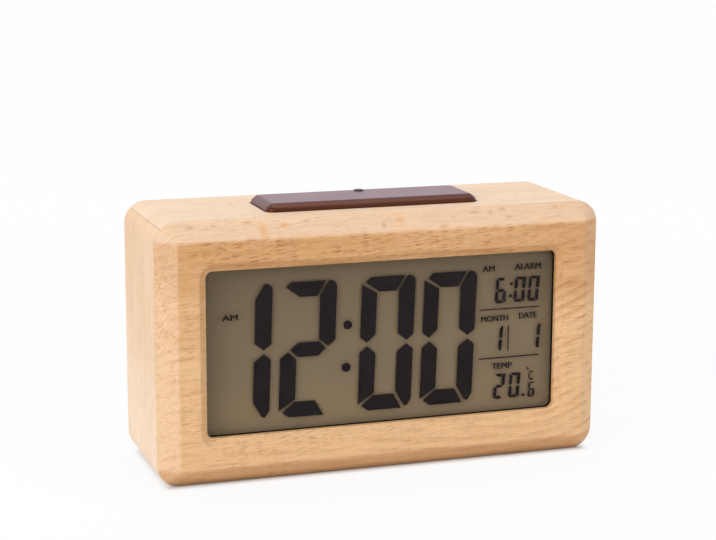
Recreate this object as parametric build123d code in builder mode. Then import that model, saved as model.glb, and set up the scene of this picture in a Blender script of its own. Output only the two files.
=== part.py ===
from build123d import *
import os
from math import atan, cos, degrees, pi, radians, sin, sqrt, tan

os.makedirs("parts", exist_ok=True)

# Lengths are in millimetres. X runs along the front from left to right, Y from the front to the
# back and Z up. The origin is on the table, under the middle of the case.

# Wooden case
case_width = 145
case_depth = 48
case_height = 82
plank_thickness = 8
chamfer_inset = 6
chamfer_depth = 5
front_land = 0.6
front_corner = 1.0
edge_ease = 1.0
rear_ease = 0.8
rabbet_width = 5

# Window in the front board
window_radius = 2.2
window_bevel = 2.4
window_ease = 0.8
pocket_depth = 1.6

# Clearances
sheet_gap = 0.3
pocket_gap = 0.2
cap_gap = 0.3
cover_gap = 0.3
stop_gap = 0.1
screw_gap = 0.05
pin_gap = 0.05

# Display stack, from the lens to the reflector
lens_thickness = 1.0
polarizer_thickness = 0.2
polarizer_inset = 0.6
glass_thickness = 0.7
glass_margin_x = 1.1
glass_margin_z = 2.0
contact_ledge = 2.5
cell_gap = 0.1
guide_thickness = 3.0
reflector_thickness = 0.3
strip_thickness = 1.9
strip_end_gap = 6

# Backlight lamps at the two ends of the light guide
lamp_width = 3.4
lamp_reach = 2.0
lamp_depth = 2.4
lamp_leg = 0.5
lamp_leg_spacing = 2.0

# Display tray
tray_wall = 1.2
tray_plate = 3.0
tray_flange = 2.0
tray_flange_rise = 1.3
tray_ear = 4.2
tray_foot = 0.8
tray_screw_spacing = 40

# Figures on the display, as shares of the window's width and height
figure_width_share = 0.154
figure_height_share = 0.823
figure_spacing_share = 0.18
figure_slant_share = 0.034
figure_round_share = 0.12
small_width_share = 0.0325
small_height_share = 0.158
small_slant_share = 0.075
tenth_width_share = 0.0195
tenth_height_share = 0.095
colon_radius_share = 0.0124
small_colon_radius_share = 0.0043
rule_width_share = 0.0032

# Places on the display, as shares of half the window from its middle
hours_place_shares = (-0.603, -0.042)
minutes_place_shares = (0.207, -0.042)
colon_place_shares = (-0.201, -0.044)
colon_spread_share = 0.261
small_colon_place_shares = (0.757, 0.508)
small_colon_spread_share = 0.075
small_figure_shares = {
    "alarm_hour": ("6", 0.697, 0.508),
    "alarm_tens": ("0", 0.810, 0.508),
    "alarm_units": ("0", 0.894, 0.508),
    "month": ("1", 0.678, -0.100),
    "date": ("1", 0.905, -0.100),
    "degree_tens": ("2", 0.697, -0.704),
    "degree_units": ("0", 0.789, -0.704),
}
tenth_shares = ("6", 0.894, -0.777)
point_shares = (0.845, -0.842)
rule_x_shares = (0.572, 0.934)
rule_z_shares = (0.277, -0.338)
divider_x_share = 0.746
divider_z_shares = (0.058, -0.265)

# Corners of the seven segments, as shares of half a figure's width and height
segment_shares = {
    "a": [(-0.86, 0.925), (-0.67, 1), (0.60, 1), (0.29, 0.778), (-0.35, 0.778)],
    "b": [(0.70, 1), (1, 1), (1, 0.112), (0.74, 0.026), (0.40, 0.135), (0.385, 0.776)],
    "c": [(0.745, -0.026), (1, -0.112), (1, -0.87), (0.83, -0.975), (0.72, -0.955), (0.395, -0.735),
          (0.395, -0.14)],
    "d": [(-0.87, -0.925), (-0.62, -1), (0.635, -1), (0.325, -0.775), (-0.42, -0.771)],
    "e": [(-0.71, -0.026), (-0.41, -0.145), (-0.41, -0.736), (-1, -0.897), (-1, -0.117)],
    "f": [(-1, 0.90), (-0.43, 0.762), (-0.43, 0.145), (-0.745, 0.026), (-1, 0.112)],
    "g": [(-0.655, 0), (-0.35, 0.105), (0.395, 0.105), (0.66, 0), (0.395, -0.11), (-0.35, -0.11)],
}
lit_segments = {"0": "abcdef", "1": "bc", "2": "abged", "6": "afgedc"}

# Main board and what stands on it
board_thickness = 1.6
board_screw_inset_x = 6
board_screw_inset_z = 7
blob_radius = 8
blob_height = 2.2
crystal_radius = 1.0
crystal_length = 6.2
capacitor_radius = 2.5
capacitor_height = 6
capacitor_spacing = 8
chip_length = 2.0
chip_width = 1.2
chip_height = 0.6
chip_spacing_x = 5
chip_spacing_z = 4
bead_radius = 1.2
bead_standoff = 7
bead_leg_radius = 0.3
bead_leg_spacing = 1.4
blob_shares = (-0.22, -0.20)
crystal_shares = (0.06, -0.20)
capacitor_shares = (0.42, -0.45)
chip_shares = (-0.5, 0.3)
bead_shares = (0.72, -0.55)

# Screws: shank and head
screw_shank_radius = 0.8
screw_head_radius = 1.5
screw_head_height = 1.2
screw_slot_width = 0.5
screw_slot_share = 0.75
tray_screw_length = 6
board_screw_length = 4.2
holder_screw_length = 7
key_screw_length = 6
cover_screw_length = 12
cover_head_radius = 1.9
cover_sink_angle = 90

# Snooze bar on the top
bar_length = 69.8
bar_width = 22
bar_top_corner = 1.0
bar_ease = 1.8
bar_rise = 2.5
bar_chamfer_inset = 2
bar_chamfer_height = 1.5
bar_wall = 1.6
bar_roof = 2.0
bar_gap = 0.4
bar_travel = 1.0
bar_tab_reach = 2.8
bar_tab_width = 14
bar_tab_thickness = 1.4
bar_post_radius = 3.0
bar_spring_inset = 7.5

# Light sensor lens in the bar
sensor_x = 0.6
sensor_y = 7.0
sensor_lens_radius = 1.6
sensor_lens_rise = 0.4
sensor_lens_length = 9
sensor_radius = 1.5
sensor_height = 3

# Springs under the bar
bar_spring_height = 6.5
bar_spring_radius = 2.4
bar_spring_wire = 0.5
bar_spring_turns = 3.5

# Holder and board under the bar
holder_thickness = 1.5
holder_end_gap = 2
holder_front_gap = 1.0
holder_rear_gap = 0.4
holder_ear = 8.5
holder_screw_inset = 3.4
holder_peg_radius = 1.2
holder_peg_height = 1.4
snooze_board_length = 30
snooze_board_inset = 1.2
snooze_board_thickness = 1.2
snooze_peg_spacing = 25
snooze_peg_rise = 0.8

# Key switches
switch_side = 6
switch_height = 3.5
switch_ease = 0.3
switch_well = 2.6
plunger_radius = 1.6
plunger_seat = 1.0
plunger_spare = 0.25

# Back cover
cover_thickness = 2.0
cover_recess = 1.5
cover_corner = 1.5
cover_screw_inset = 8.5
vent_count = 6
vent_length = 16
vent_width = 1.6
vent_spacing = 3.4

# Battery bay and cells
cell_radius = 5.25
cell_length = 44.5
cell_nub_radius = 1.9
cell_nub_height = 1.0
cell_space = 0.7
cell_count = 2
cell_ease = 0.5
bay_wall = 1.5
bay_gap = 0.35
contact_thickness = 0.4
contact_width = 8
tab_width = 3
tab_reach = 3.0
tab_slot_gap = 0.2
cell_spring_height = 5.7
cell_spring_radius = 2.6
cell_spring_wire = 0.5
cell_spring_turns = 3

# Battery door and its hinge
door_thickness = 1.5
door_overlap_x = 2.7
door_overlap_z = 2.4
hinge_floor_gap = 1.0
hinge_bay_gap = 0.3
barrel_radius = 1.6
pin_radius = 0.8
pin_length = 1.5
hinge_wall = 1.4
rib_count = 3
rib_length = 14
rib_width = 0.9
rib_height = 0.5
rib_spacing = 2.2
rib_inset = 4
scoop_radius = 6
scoop_rise = 2.4
scoop_depth = 1.2

# Buttons and slide knobs on the back
button_names = ["mode", "set", "up", "down"]
button_length = 10
button_width = 5.6
button_proud = 1.3
button_flange_reach = 1.5
button_flange_thickness = 1.4
button_stop_gap = 0.2
button_ease = 0.5
button_travel = 0.6
slider_names = ["alarm", "light"]
slider_length = 4
slider_width = 3.6
slider_proud = 1.1
slider_travel = 3
slider_flange_length = 14
slider_flange_width = 7
slider_stem = 2
slider_stem_seat = 1.6
slider_groove_width = 0.5
slider_groove_depth = 0.4
slider_groove_spacing = 1.1
slider_groove_count = 3
slide_switch_length = 10
slide_switch_width = 5.6

# Key board behind the buttons
key_drop = 14
key_board_height = 11
key_board_inset = 6.5
key_boss_radius = 1.8
key_boss_spacing = 6.6
key_pilot_depth = 5

# Buzzer
buzzer_radius = 10
buzzer_thickness = 0.3
buzzer_ceramic_radius = 7
buzzer_ceramic_thickness = 0.3
buzzer_ledge_depth = 3
buzzer_ledge_width = 1.5
buzzer_rim = 1.3
buzzer_rim_rise = 1.0
sound_hole_radius = 0.8
sound_ring_shares = (0.3, 0.6)
sound_ring_counts = (6, 12)

# Wires and ribbons
lead_radius = 0.7
buzzer_lead_radius = 0.5
buzzer_lead_spread = 3.5
lead_reach = 7
lead_rise = 5
ribbon_thickness = 0.8
key_ribbon_width = 12
key_ribbon_inset = 8
key_ribbon_drop = 10
snooze_ribbon_width = 8
snooze_ribbon_x = -7
snooze_ribbon_y = 4
snooze_ribbon_drop = 9
snooze_ribbon_gap = 1
ribbon_bend = 4
bend_share = 0.45
gap_samples = 400
coil_bend_length = 0.8

# Planes of the case
front_y = -case_depth / 2
rear_y = case_depth / 2
mid_z = case_height / 2
chamfer_rear = front_y + chamfer_depth
board_rear = chamfer_rear + front_land
front_thickness = board_rear - front_y
lip_rear = board_rear - pocket_depth
edge_radius = chamfer_inset + front_corner
plank_length = rear_y - board_rear
cavity_width = case_width - 2 * plank_thickness
cavity_height = case_height - 2 * plank_thickness
floor_z = plank_thickness
ceiling_z = case_height - plank_thickness
rabbet_depth = cover_recess + cover_thickness
rabbet_opening_width = cavity_width + 2 * rabbet_width
rabbet_opening_height = cavity_height + 2 * rabbet_width
cover_rear = rear_y - cover_recess
cover_front = cover_rear - cover_thickness
cover_width = rabbet_opening_width - 2 * cover_gap
cover_height = rabbet_opening_height - 2 * cover_gap
cover_screw_x = cavity_width / 2 - cover_screw_inset
cover_screw_rise = cavity_height / 2 + rabbet_width / 2
chamfer_angle = degrees(atan(chamfer_inset / chamfer_depth))

# Rear faces of the display sheets
lens_rear = lip_rear + lens_thickness
front_polarizer_rear = lens_rear + polarizer_thickness
front_glass_rear = front_polarizer_rear + glass_thickness
segments_rear = front_glass_rear + cell_gap
rear_glass_rear = segments_rear + glass_thickness
rear_polarizer_rear = rear_glass_rear + polarizer_thickness
guide_rear = rear_polarizer_rear + guide_thickness
reflector_rear = guide_rear + reflector_thickness
tray_rear = reflector_rear + tray_plate
flange_rear = board_rear + tray_flange
main_board_rear = tray_rear + board_thickness

# Outlines of the window, the display sheets and their tray
tray_margin = pocket_gap + tray_wall + sheet_gap
window_width = cavity_width - 2 * (tray_ear + tray_margin + glass_margin_x)
window_height = cavity_height - 2 * (tray_foot + tray_margin + glass_margin_z + contact_ledge)
glass_width = window_width + 2 * glass_margin_x
glass_height = window_height + 2 * glass_margin_z
front_glass_height = glass_height + contact_ledge
stack_z = mid_z - contact_ledge / 2
tray_inner_width = glass_width + 2 * sheet_gap
tray_inner_height = front_glass_height + 2 * sheet_gap
tray_width = tray_inner_width + 2 * tray_wall
tray_height = tray_inner_height + 2 * tray_wall
pocket_width = tray_width + 2 * pocket_gap
pocket_height = tray_height + 2 * pocket_gap
flange_width = cavity_width - 2 * sheet_gap
flange_top = stack_z + pocket_height / 2 + tray_flange_rise
flange_bottom = floor_z + sheet_gap
tray_screw_x = (cavity_width - tray_ear) / 2
tray_screw_spots = [(side * tray_screw_x, mid_z + end * tray_screw_spacing / 2)
                    for side in (-1, 1) for end in (-1, 1)]
strip_z = mid_z - glass_height / 2 - contact_ledge / 2
strip_length = glass_width - 2 * strip_end_gap
strip_slot_height = strip_thickness + 2 * pocket_gap
lamp_x = glass_width / 2 - lamp_reach / 2
main_board_top = mid_z + glass_height / 2
main_board_bottom = stack_z - front_glass_height / 2
main_board_height = main_board_top - main_board_bottom
main_board_z = (main_board_top + main_board_bottom) / 2
board_screw_x = glass_width / 2 - board_screw_inset_x
board_screw_rise = main_board_height / 2 - board_screw_inset_z
board_screw_spots = [(side * board_screw_x, main_board_z + end * board_screw_rise)
                     for side in (-1, 1) for end in (-1, 1)]

# Depths of the buttons and the key board
button_flange_rear = cover_front - button_stop_gap
button_flange_front = button_flange_rear - button_flange_thickness
key_switch_rear = button_flange_front - button_travel - plunger_spare
key_board_rear = key_switch_rear - switch_height
key_board_front = key_board_rear - board_thickness
key_board_width = cavity_width - 2 * key_board_inset
key_z = ceiling_z - key_drop
button_count = len(button_names)
button_span = button_length + 2 * button_flange_reach
slider_span = slider_flange_length + slider_travel
key_gap = (cavity_width - button_count * button_span - 2 * slider_span) / (button_count + 3)
button_spacing = button_span + key_gap
button_places = [button_spacing * ((button_count - 1) / 2 - index) for index in range(button_count)]
slider_x = cavity_width / 2 - key_gap - slider_span / 2
slider_places = [slider_x, -slider_x]
slider_slot_length = slider_length + slider_travel + 2 * cap_gap
slider_slot_width = slider_width + 2 * cap_gap

# Heights of the snooze bar and what is under it
bar_top = case_height + bar_rise
bar_corner = bar_chamfer_inset + bar_top_corner
tab_top = ceiling_z - stop_gap
bar_bottom = tab_top - bar_tab_thickness
bar_spring_x = bar_length / 2 - bar_spring_inset
bar_spring_spots = [(-bar_spring_x, 0), (bar_spring_x, 0)]
slot_length = bar_length + 2 * bar_gap
slot_width = bar_width + 2 * bar_gap
holder_top = bar_bottom - bar_spring_height
holder_bottom = holder_top - holder_thickness
holder_front = main_board_rear + screw_head_height + holder_front_gap
holder_rear = key_board_front - screw_head_height - holder_rear_gap
holder_width = holder_rear - holder_front
holder_y = (holder_front + holder_rear) / 2
holder_inner = bar_length + 2 * bar_tab_reach + 2 * holder_end_gap
holder_outer = holder_inner + 2 * holder_thickness
holder_screw_x = (holder_outer + holder_ear) / 2
holder_screw_reach = holder_width / 2 - holder_screw_inset
holder_screw_spots = [(side * holder_screw_x, holder_y + end * holder_screw_reach)
                      for side in (-1, 1) for end in (-1, 1)]
snooze_board_width = holder_width - 2 * snooze_board_inset
snooze_board_top = holder_top + snooze_board_thickness
snooze_peg_spots = [(-snooze_peg_spacing / 2, holder_y), (snooze_peg_spacing / 2, holder_y)]
snooze_switch_top = snooze_board_top + switch_height
snooze_plunger_top = snooze_switch_top + bar_travel + plunger_spare

# Hinge, battery bay and door, from the floor of the case up
hinge_y = cover_rear - barrel_radius
channel_radius = barrel_radius + cap_gap
hinge_block_bottom = floor_z + hinge_floor_gap
hinge_z = hinge_block_bottom + hinge_wall + channel_radius
bay_bottom = hinge_z + channel_radius + hinge_bay_gap + bay_wall
bay_length = cell_length + cell_spring_height + 2 * contact_thickness
cell_spacing = 2 * cell_radius + cell_space
bay_height = (cell_count - 1) * cell_spacing + 2 * cell_radius + 2 * bay_gap
bay_z = bay_bottom + bay_height / 2
bay_rear = cover_rear - door_thickness
cell_y = bay_rear - bay_gap - cell_radius
bay_floor = cell_y - cell_radius - stop_gap
cell_heights = [bay_z + cell_spacing * (index - (cell_count - 1) / 2) for index in range(cell_count)]
cell_turns = [-1 if index % 2 == 0 else 1 for index in range(cell_count)]
contact_x = bay_length / 2 - contact_thickness
tab_y = cell_y - contact_width / 2 + contact_thickness / 2
tab_end = bay_length / 2 + bay_wall + tab_reach - contact_thickness
door_width = bay_length + 2 * door_overlap_x
door_top = bay_bottom + bay_height + door_overlap_z
recess_top = door_top + cap_gap
recess_bottom = hinge_z - channel_radius
channel_length = door_width + 2 * cap_gap
hinge_block_length = channel_length + 2 * (pin_length + hinge_wall)
hinge_block_depth = cover_front - hinge_y + channel_radius + hinge_wall

# Buzzer and vents beside the battery bay
side_feature_x = (bay_length / 2 + bay_wall + cavity_width / 2) / 2
side_feature_z = bay_z
buzzer_front = cover_front - buzzer_ledge_depth
buzzer_ledge_radius = buzzer_radius - buzzer_ledge_width
buzzer_rim_radius = buzzer_radius + pocket_gap
buzzer_post_radius = buzzer_rim_radius + buzzer_rim


# A plane whose normal points to the front, seen as from the front
def facing(y, z=0):
    return Plane(origin=(0, y, z), x_dir=(1, 0, 0), z_dir=(0, -1, 0))


# A plane whose normal points to the back, seen as from behind
def behind(y, z=0):
    return Plane(origin=(0, y, z), x_dir=(-1, 0, 0), z_dir=(0, 1, 0))


# A level plane seen from below
def beneath(z):
    return Plane(origin=(0, 0, z), x_dir=(1, 0, 0), z_dir=(0, 0, -1))


# Shapes that go down from their plane, and shapes that stand on it
driven = (Align.CENTER, Align.CENTER, Align.MAX)
standing = (Align.CENTER, Align.CENTER, Align.MIN)


def finish(piece, name):
    piece.part.label = name
    export_step(piece.part, f"parts/{name}.step")


# A flat sheet that stands upright, with its rear face at the given depth
def upright_sheet(rear, thickness, width, height, z):
    with BuildPart() as sheet:
        with BuildSketch(facing(rear, z)):
            Rectangle(width, height)
        extrude(amount=thickness)
    return sheet


# Slotted screws with their heads standing on a plane
def pan_screws(plane, spots, length):
    with BuildPart() as screws:
        with Locations(plane):
            with Locations(*spots):
                Cylinder(screw_shank_radius, length, align=driven)
                Cylinder(screw_head_radius, screw_head_height, align=standing)
        with Locations(plane.offset(screw_head_height)):
            with Locations(*spots):
                Box(2 * screw_slot_share * screw_head_radius, screw_slot_width, screw_head_height,
                    mode=Mode.SUBTRACT)
    return screws


# Radii of a wire's bends, each as large as the shorter of its two runs allows
def bend_radii(points):
    radii = []
    for before, corner, after in zip(points, points[1:], points[2:]):
        run_in = Vector(*corner) - Vector(*before)
        run_out = Vector(*after) - Vector(*corner)
        half_turn = radians(run_in.get_angle(run_out)) / 2
        radii.append(bend_share * min(run_in.length, run_out.length) / tan(half_turn))
    return radii


def wire(points, radius):
    radii = bend_radii(points)
    print("wire bends", [round(bend, 1) for bend in radii])
    with BuildPart() as lead:
        with BuildLine() as route:
            FilletPolyline(*points, radius=radii)
        with BuildSketch(Plane(route.line @ 0, z_dir=route.line % 0)):
            Circle(radius)
        sweep(path=route.line)
    return lead


# The point where two arcs meet that join two points with given directions
def biarc_joint(start, start_way, end, end_way):
    span = end - start
    ways = start_way + end_way
    spread = 2 * (1 - start_way.dot(end_way))
    along = span.dot(ways)
    reach = (sqrt(along * along + spread * span.dot(span)) - along) / spread
    return (start + end + (start_way - end_way) * reach) / 2


# Points and directions along a coil that stands on a plane: a straight end that bends over into the
# turns, quarter turns, and the same end again
def coil_stations(plane, radius, wire_size, height, turns):
    quarters = round(4 * turns)
    bend_angle = coil_bend_length / radius
    step_angle = (quarters * pi / 2 - 2 * bend_angle) / quarters
    step = (height - 2 * wire_size - 2 * coil_bend_length) / quarters
    slope = step / (radius * step_angle)
    stations = [((radius, 0, wire_size), (0, 0, 1))]
    for quarter in range(quarters + 1):
        angle = bend_angle + quarter * step_angle
        place = (radius * cos(angle), radius * sin(angle), wire_size + coil_bend_length + step * quarter)
        stations.append((place, (-sin(angle), cos(angle), slope)))
    end = (radius * cos(quarters * pi / 2), radius * sin(quarters * pi / 2), height - wire_size)
    stations.append((end, (0, 0, 1)))
    turned = []
    for place, way in stations:
        point = plane.from_local_coords(Vector(*place))
        tip = plane.from_local_coords(Vector(*place) + Vector(*way))
        turned.append((point, (tip - point).normalized()))
    return turned


def coil(plane, radius, wire_size, height, turns):
    stations = coil_stations(plane, radius, wire_size, height, turns)
    with BuildLine() as path:
        Line(stations[0][0] - stations[0][1] * wire_size, stations[0][0])
        for (start, start_way), (end, end_way) in zip(stations, stations[1:]):
            joint = biarc_joint(start, start_way, end, end_way)
            TangentArc(start, joint, tangent=start_way)
            TangentArc(joint, end, tangent=path.line % 1)
        Line(stations[-1][0], stations[-1][0] + stations[-1][1] * wire_size)
    with BuildPart() as spring:
        with BuildSketch(Plane(path.line @ 0, z_dir=path.line % 0)):
            Circle(wire_size / 2)
        sweep(path=path.line)
    return spring, path.wire()


# Least gap between turns, measured between points more than half a turn apart along the wire
def report_gap(name, line, radius, wire_size):
    points = [line @ (index / gap_samples) for index in range(gap_samples + 1)]
    apart = int(gap_samples * pi * radius / line.length)
    gaps = [(near - far).length for index, near in enumerate(points) for far in points[index + apart:]]
    print(name, "least gap between turns", round(min(gaps) - wire_size, 2))


# Front board: chamfered all round, with the bevelled window and a pocket behind its lip
with BuildPart() as front_frame:
    with BuildSketch(facing(board_rear, mid_z)):
        RectangleRounded(case_width, case_height, edge_radius)
    extrude(amount=front_land)
    with BuildSketch(facing(chamfer_rear, mid_z)):
        RectangleRounded(case_width, case_height, edge_radius)
    extrude(amount=chamfer_depth, taper=chamfer_angle)
    loops = front_frame.edges().group_by(Axis.Y)
    fillet(loops[0] + loops[2], edge_ease)
    with BuildSketch(facing(board_rear, mid_z)):
        RectangleRounded(window_width, window_height, window_radius)
    extrude(amount=front_thickness, mode=Mode.SUBTRACT)
    chamfer(front_frame.faces().sort_by(Axis.Y)[0].inner_wires()[0].edges(), window_bevel)
    fillet(front_frame.faces().sort_by(Axis.Y)[0].inner_wires()[0].edges(), window_ease)
    with BuildSketch(facing(board_rear, stack_z)):
        Rectangle(pocket_width, pocket_height)
    extrude(amount=pocket_depth, mode=Mode.SUBTRACT)
    with Locations(behind(board_rear)):
        with Locations(*tray_screw_spots):
            Hole(screw_shank_radius + screw_gap, tray_screw_length - tray_flange + screw_gap)
finish(front_frame, "front_frame")


# Section of the case wall between two mitred corners, given as signs of X and Z
def plank_section(first, second):
    outer = [(x * case_width / 2, z * case_height / 2) for x, z in (first, second)]
    inner = [(x * cavity_width / 2, z * cavity_height / 2) for x, z in (second, first)]
    with BuildSketch(facing(rear_y, mid_z)) as section:
        RectangleRounded(case_width, case_height, edge_radius)
        Polygon(*outer, *inner, align=None, mode=Mode.INTERSECT)
    return section.sketch


# A plank along one side, with the rabbet for the back cover and its outer back edge eased
def plank_blank(first, second, outward):
    with BuildPart() as blank:
        extrude(plank_section(first, second), amount=plank_length)
        rear_edges = blank.edges().group_by(Axis.Y)[-1]
        outer_edge = rear_edges.filter_by(GeomType.LINE).sort_by(outward)[-1]
        fillet(rear_edges.filter_by(GeomType.CIRCLE) + [outer_edge], rear_ease)
        with BuildSketch(facing(rear_y, mid_z)):
            Rectangle(rabbet_opening_width, rabbet_opening_height)
        extrude(amount=rabbet_depth, mode=Mode.SUBTRACT)
    return blank.part


cover_pilot_depth = cover_screw_length - cover_thickness + screw_gap

with BuildPart() as top_plank:
    add(plank_blank((-1, 1), (1, 1), Axis.Z))
    with BuildSketch(Plane.XY.offset(ceiling_z)):
        RectangleRounded(slot_length, slot_width, bar_corner + bar_gap)
    extrude(amount=plank_thickness, mode=Mode.SUBTRACT)
    with Locations(behind(cover_front, mid_z + cover_screw_rise)):
        with GridLocations(2 * cover_screw_x, 0, 2, 1):
            Hole(screw_shank_radius + screw_gap, cover_pilot_depth)
    with Locations(beneath(ceiling_z)):
        with Locations(*[(x, -y) for x, y in holder_screw_spots]):
            Hole(screw_shank_radius + screw_gap, holder_screw_length - holder_thickness + screw_gap)
finish(top_plank, "top_plank")

with BuildPart() as bottom_plank:
    add(plank_blank((1, -1), (-1, -1), -Axis.Z))
    with Locations(behind(cover_front, mid_z - cover_screw_rise)):
        with GridLocations(2 * cover_screw_x, 0, 2, 1):
            Hole(screw_shank_radius + screw_gap, cover_pilot_depth)
finish(bottom_plank, "bottom_plank")

with BuildPart() as left_plank:
    add(plank_blank((-1, -1), (-1, 1), -Axis.X))
finish(left_plank, "left_plank")

with BuildPart() as right_plank:
    add(plank_blank((1, 1), (1, -1), Axis.X))
finish(right_plank, "right_plank")

# Display sheets
polarizer_width = glass_width - 2 * polarizer_inset
polarizer_height = glass_height - 2 * polarizer_inset
finish(upright_sheet(lens_rear, lens_thickness, tray_width, tray_height, stack_z), "window_lens")
finish(upright_sheet(front_polarizer_rear, polarizer_thickness, polarizer_width, polarizer_height, mid_z),
       "lcd_front_polarizer")
finish(upright_sheet(front_glass_rear, glass_thickness, glass_width, front_glass_height, stack_z),
       "lcd_front_glass")
finish(upright_sheet(rear_glass_rear, glass_thickness, glass_width, glass_height, mid_z), "lcd_rear_glass")
finish(upright_sheet(rear_polarizer_rear, polarizer_thickness, polarizer_width, polarizer_height, mid_z),
       "lcd_rear_polarizer")
reflector_width = glass_width - 2 * (lamp_reach + 2 * pocket_gap)
finish(upright_sheet(reflector_rear, reflector_thickness, reflector_width, glass_height, mid_z),
       "reflector_sheet")


# A place on the display from its shares
def on_window(x_share, z_share):
    return x_share * window_width / 2, z_share * window_height / 2


# The lit segments of one figure, leaning to the right
def figure(digit, place, width, height, slant_share):
    for name in lit_segments[digit]:
        corners = [(place[0] + u * width / 2 + slant_share * v * height / 2, place[1] + v * height / 2)
                   for u, v in segment_shares[name]]
        Polygon(*corners, align=None)


figure_width = figure_width_share * window_width
figure_height = figure_height_share * window_height
figure_spacing = figure_spacing_share * window_width
small_width = small_width_share * window_width
small_height = small_height_share * window_height
rule_width = rule_width_share * window_width
hours_x, figure_z = on_window(*hours_place_shares)
minutes_x, figure_z = on_window(*minutes_place_shares)
large_figures = [("1", hours_x - figure_spacing / 2), ("2", hours_x + figure_spacing / 2),
                 ("0", minutes_x - figure_spacing / 2), ("0", minutes_x + figure_spacing / 2)]

with BuildPart() as lcd_segments:
    with BuildSketch(facing(segments_rear, mid_z)) as artwork:
        for digit, x in large_figures:
            figure(digit, (x, figure_z), figure_width, figure_height, figure_slant_share)
            lean = figure_slant_share * figure_height / 2
            top_corner = (x + figure_width / 2 + lean, figure_z + figure_height / 2, 0)
            fillet(artwork.vertices().sort_by_distance(top_corner)[0], figure_round_share * figure_width)
        for digit, x_share, z_share in small_figure_shares.values():
            figure(digit, on_window(x_share, z_share), small_width, small_height, small_slant_share)
        figure(tenth_shares[0], on_window(*tenth_shares[1:]), tenth_width_share * window_width,
               tenth_height_share * window_height, small_slant_share)
        colon_x, colon_z = on_window(*colon_place_shares)
        colon_spread = colon_spread_share * window_height / 2
        colon_lean = figure_slant_share * colon_spread
        with Locations((colon_x + colon_lean, colon_z + colon_spread),
                       (colon_x - colon_lean, colon_z - colon_spread)):
            Circle(colon_radius_share * window_width)
        small_colon_x, small_colon_z = on_window(*small_colon_place_shares)
        small_spread = small_colon_spread_share * window_height / 2
        small_lean = small_slant_share * small_spread
        with Locations((small_colon_x + small_lean, small_colon_z + small_spread),
                       (small_colon_x - small_lean, small_colon_z - small_spread), on_window(*point_shares)):
            Circle(small_colon_radius_share * window_width)
        rule_start, rule_end = [share * window_width / 2 for share in rule_x_shares]
        rule_x = (rule_start + rule_end) / 2
        with Locations(*[(rule_x, share * window_height / 2) for share in rule_z_shares]):
            Rectangle(rule_end - rule_start, rule_width)
        divider_top, divider_bottom = [share * window_height / 2 for share in divider_z_shares]
        with Locations((divider_x_share * window_width / 2, (divider_top + divider_bottom) / 2)):
            Rectangle(rule_width, divider_top - divider_bottom)
    extrude(amount=cell_gap)
finish(lcd_segments, "lcd_segments")

with BuildPart() as light_guide:
    with BuildSketch(facing(guide_rear, mid_z)):
        Rectangle(glass_width, glass_height)
        with Locations((-lamp_x, 0), (lamp_x, 0)):
            Rectangle(lamp_reach + 2 * pocket_gap, lamp_width + 2 * pocket_gap, mode=Mode.SUBTRACT)
    extrude(amount=guide_thickness)
finish(light_guide, "light_guide")

# Each lamp has two legs that go back through the tray to the main board
with BuildPart() as backlight_leds:
    with BuildSketch(facing(guide_rear, mid_z)):
        with Locations((-lamp_x, 0), (lamp_x, 0)):
            Rectangle(lamp_reach, lamp_width)
    extrude(amount=lamp_depth)
    with BuildSketch(facing(tray_rear, mid_z)):
        with Locations((-lamp_x, 0), (lamp_x, 0)):
            with GridLocations(0, lamp_leg_spacing, 1, 2):
                Rectangle(lamp_leg, lamp_leg)
    extrude(amount=tray_rear - guide_rear)
finish(backlight_leds, "backlight_leds")

with BuildPart() as zebra_strip:
    with BuildSketch(facing(tray_rear, strip_z)):
        Rectangle(strip_length, strip_thickness)
    extrude(amount=tray_rear - front_glass_rear)
finish(zebra_strip, "zebra_strip")

# Tray: walls round the sheets, a thick plate behind them and a flange against the front board
with BuildPart() as display_tray:
    with BuildSketch(facing(tray_rear, stack_z)):
        Rectangle(tray_width, tray_height)
    extrude(amount=tray_rear - lens_rear)
    with BuildSketch(facing(flange_rear, (flange_top + flange_bottom) / 2)):
        Rectangle(flange_width, flange_top - flange_bottom)
    extrude(amount=tray_flange)
    with BuildSketch(facing(reflector_rear, stack_z)):
        Rectangle(tray_inner_width, tray_inner_height)
    extrude(amount=reflector_rear - lens_rear, mode=Mode.SUBTRACT)
    with BuildSketch(facing(tray_rear, strip_z)):
        Rectangle(strip_length + 2 * pocket_gap, strip_slot_height)
    extrude(amount=tray_plate, mode=Mode.SUBTRACT)
    with BuildSketch(facing(tray_rear, mid_z)):
        with Locations((-lamp_x, 0), (lamp_x, 0)):
            Rectangle(lamp_leg + 2 * pocket_gap, lamp_leg_spacing + lamp_leg + 2 * pocket_gap)
    extrude(amount=tray_plate, mode=Mode.SUBTRACT)
    with Locations(behind(flange_rear)):
        with Locations(*tray_screw_spots):
            Hole(screw_shank_radius + screw_gap, tray_flange)
    with Locations(behind(tray_rear)):
        with Locations(*board_screw_spots):
            Hole(screw_shank_radius + screw_gap, board_screw_length - board_thickness + screw_gap)
finish(display_tray, "display_tray")
finish(pan_screws(behind(flange_rear), tray_screw_spots, tray_screw_length), "tray_screws")

with BuildPart() as main_board:
    with BuildSketch(facing(main_board_rear, main_board_z)):
        Rectangle(glass_width, main_board_height)
    extrude(amount=board_thickness)
    with Locations(behind(main_board_rear)):
        with Locations(*board_screw_spots):
            Hole(screw_shank_radius + screw_gap, board_thickness)
finish(main_board, "main_board")
finish(pan_screws(behind(main_board_rear), board_screw_spots, board_screw_length), "main_board_screws")


# A place on the main board as shares of half its size
def on_board(x_share, z_share):
    return x_share * glass_width / 2, main_board_z + z_share * main_board_height / 2


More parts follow.
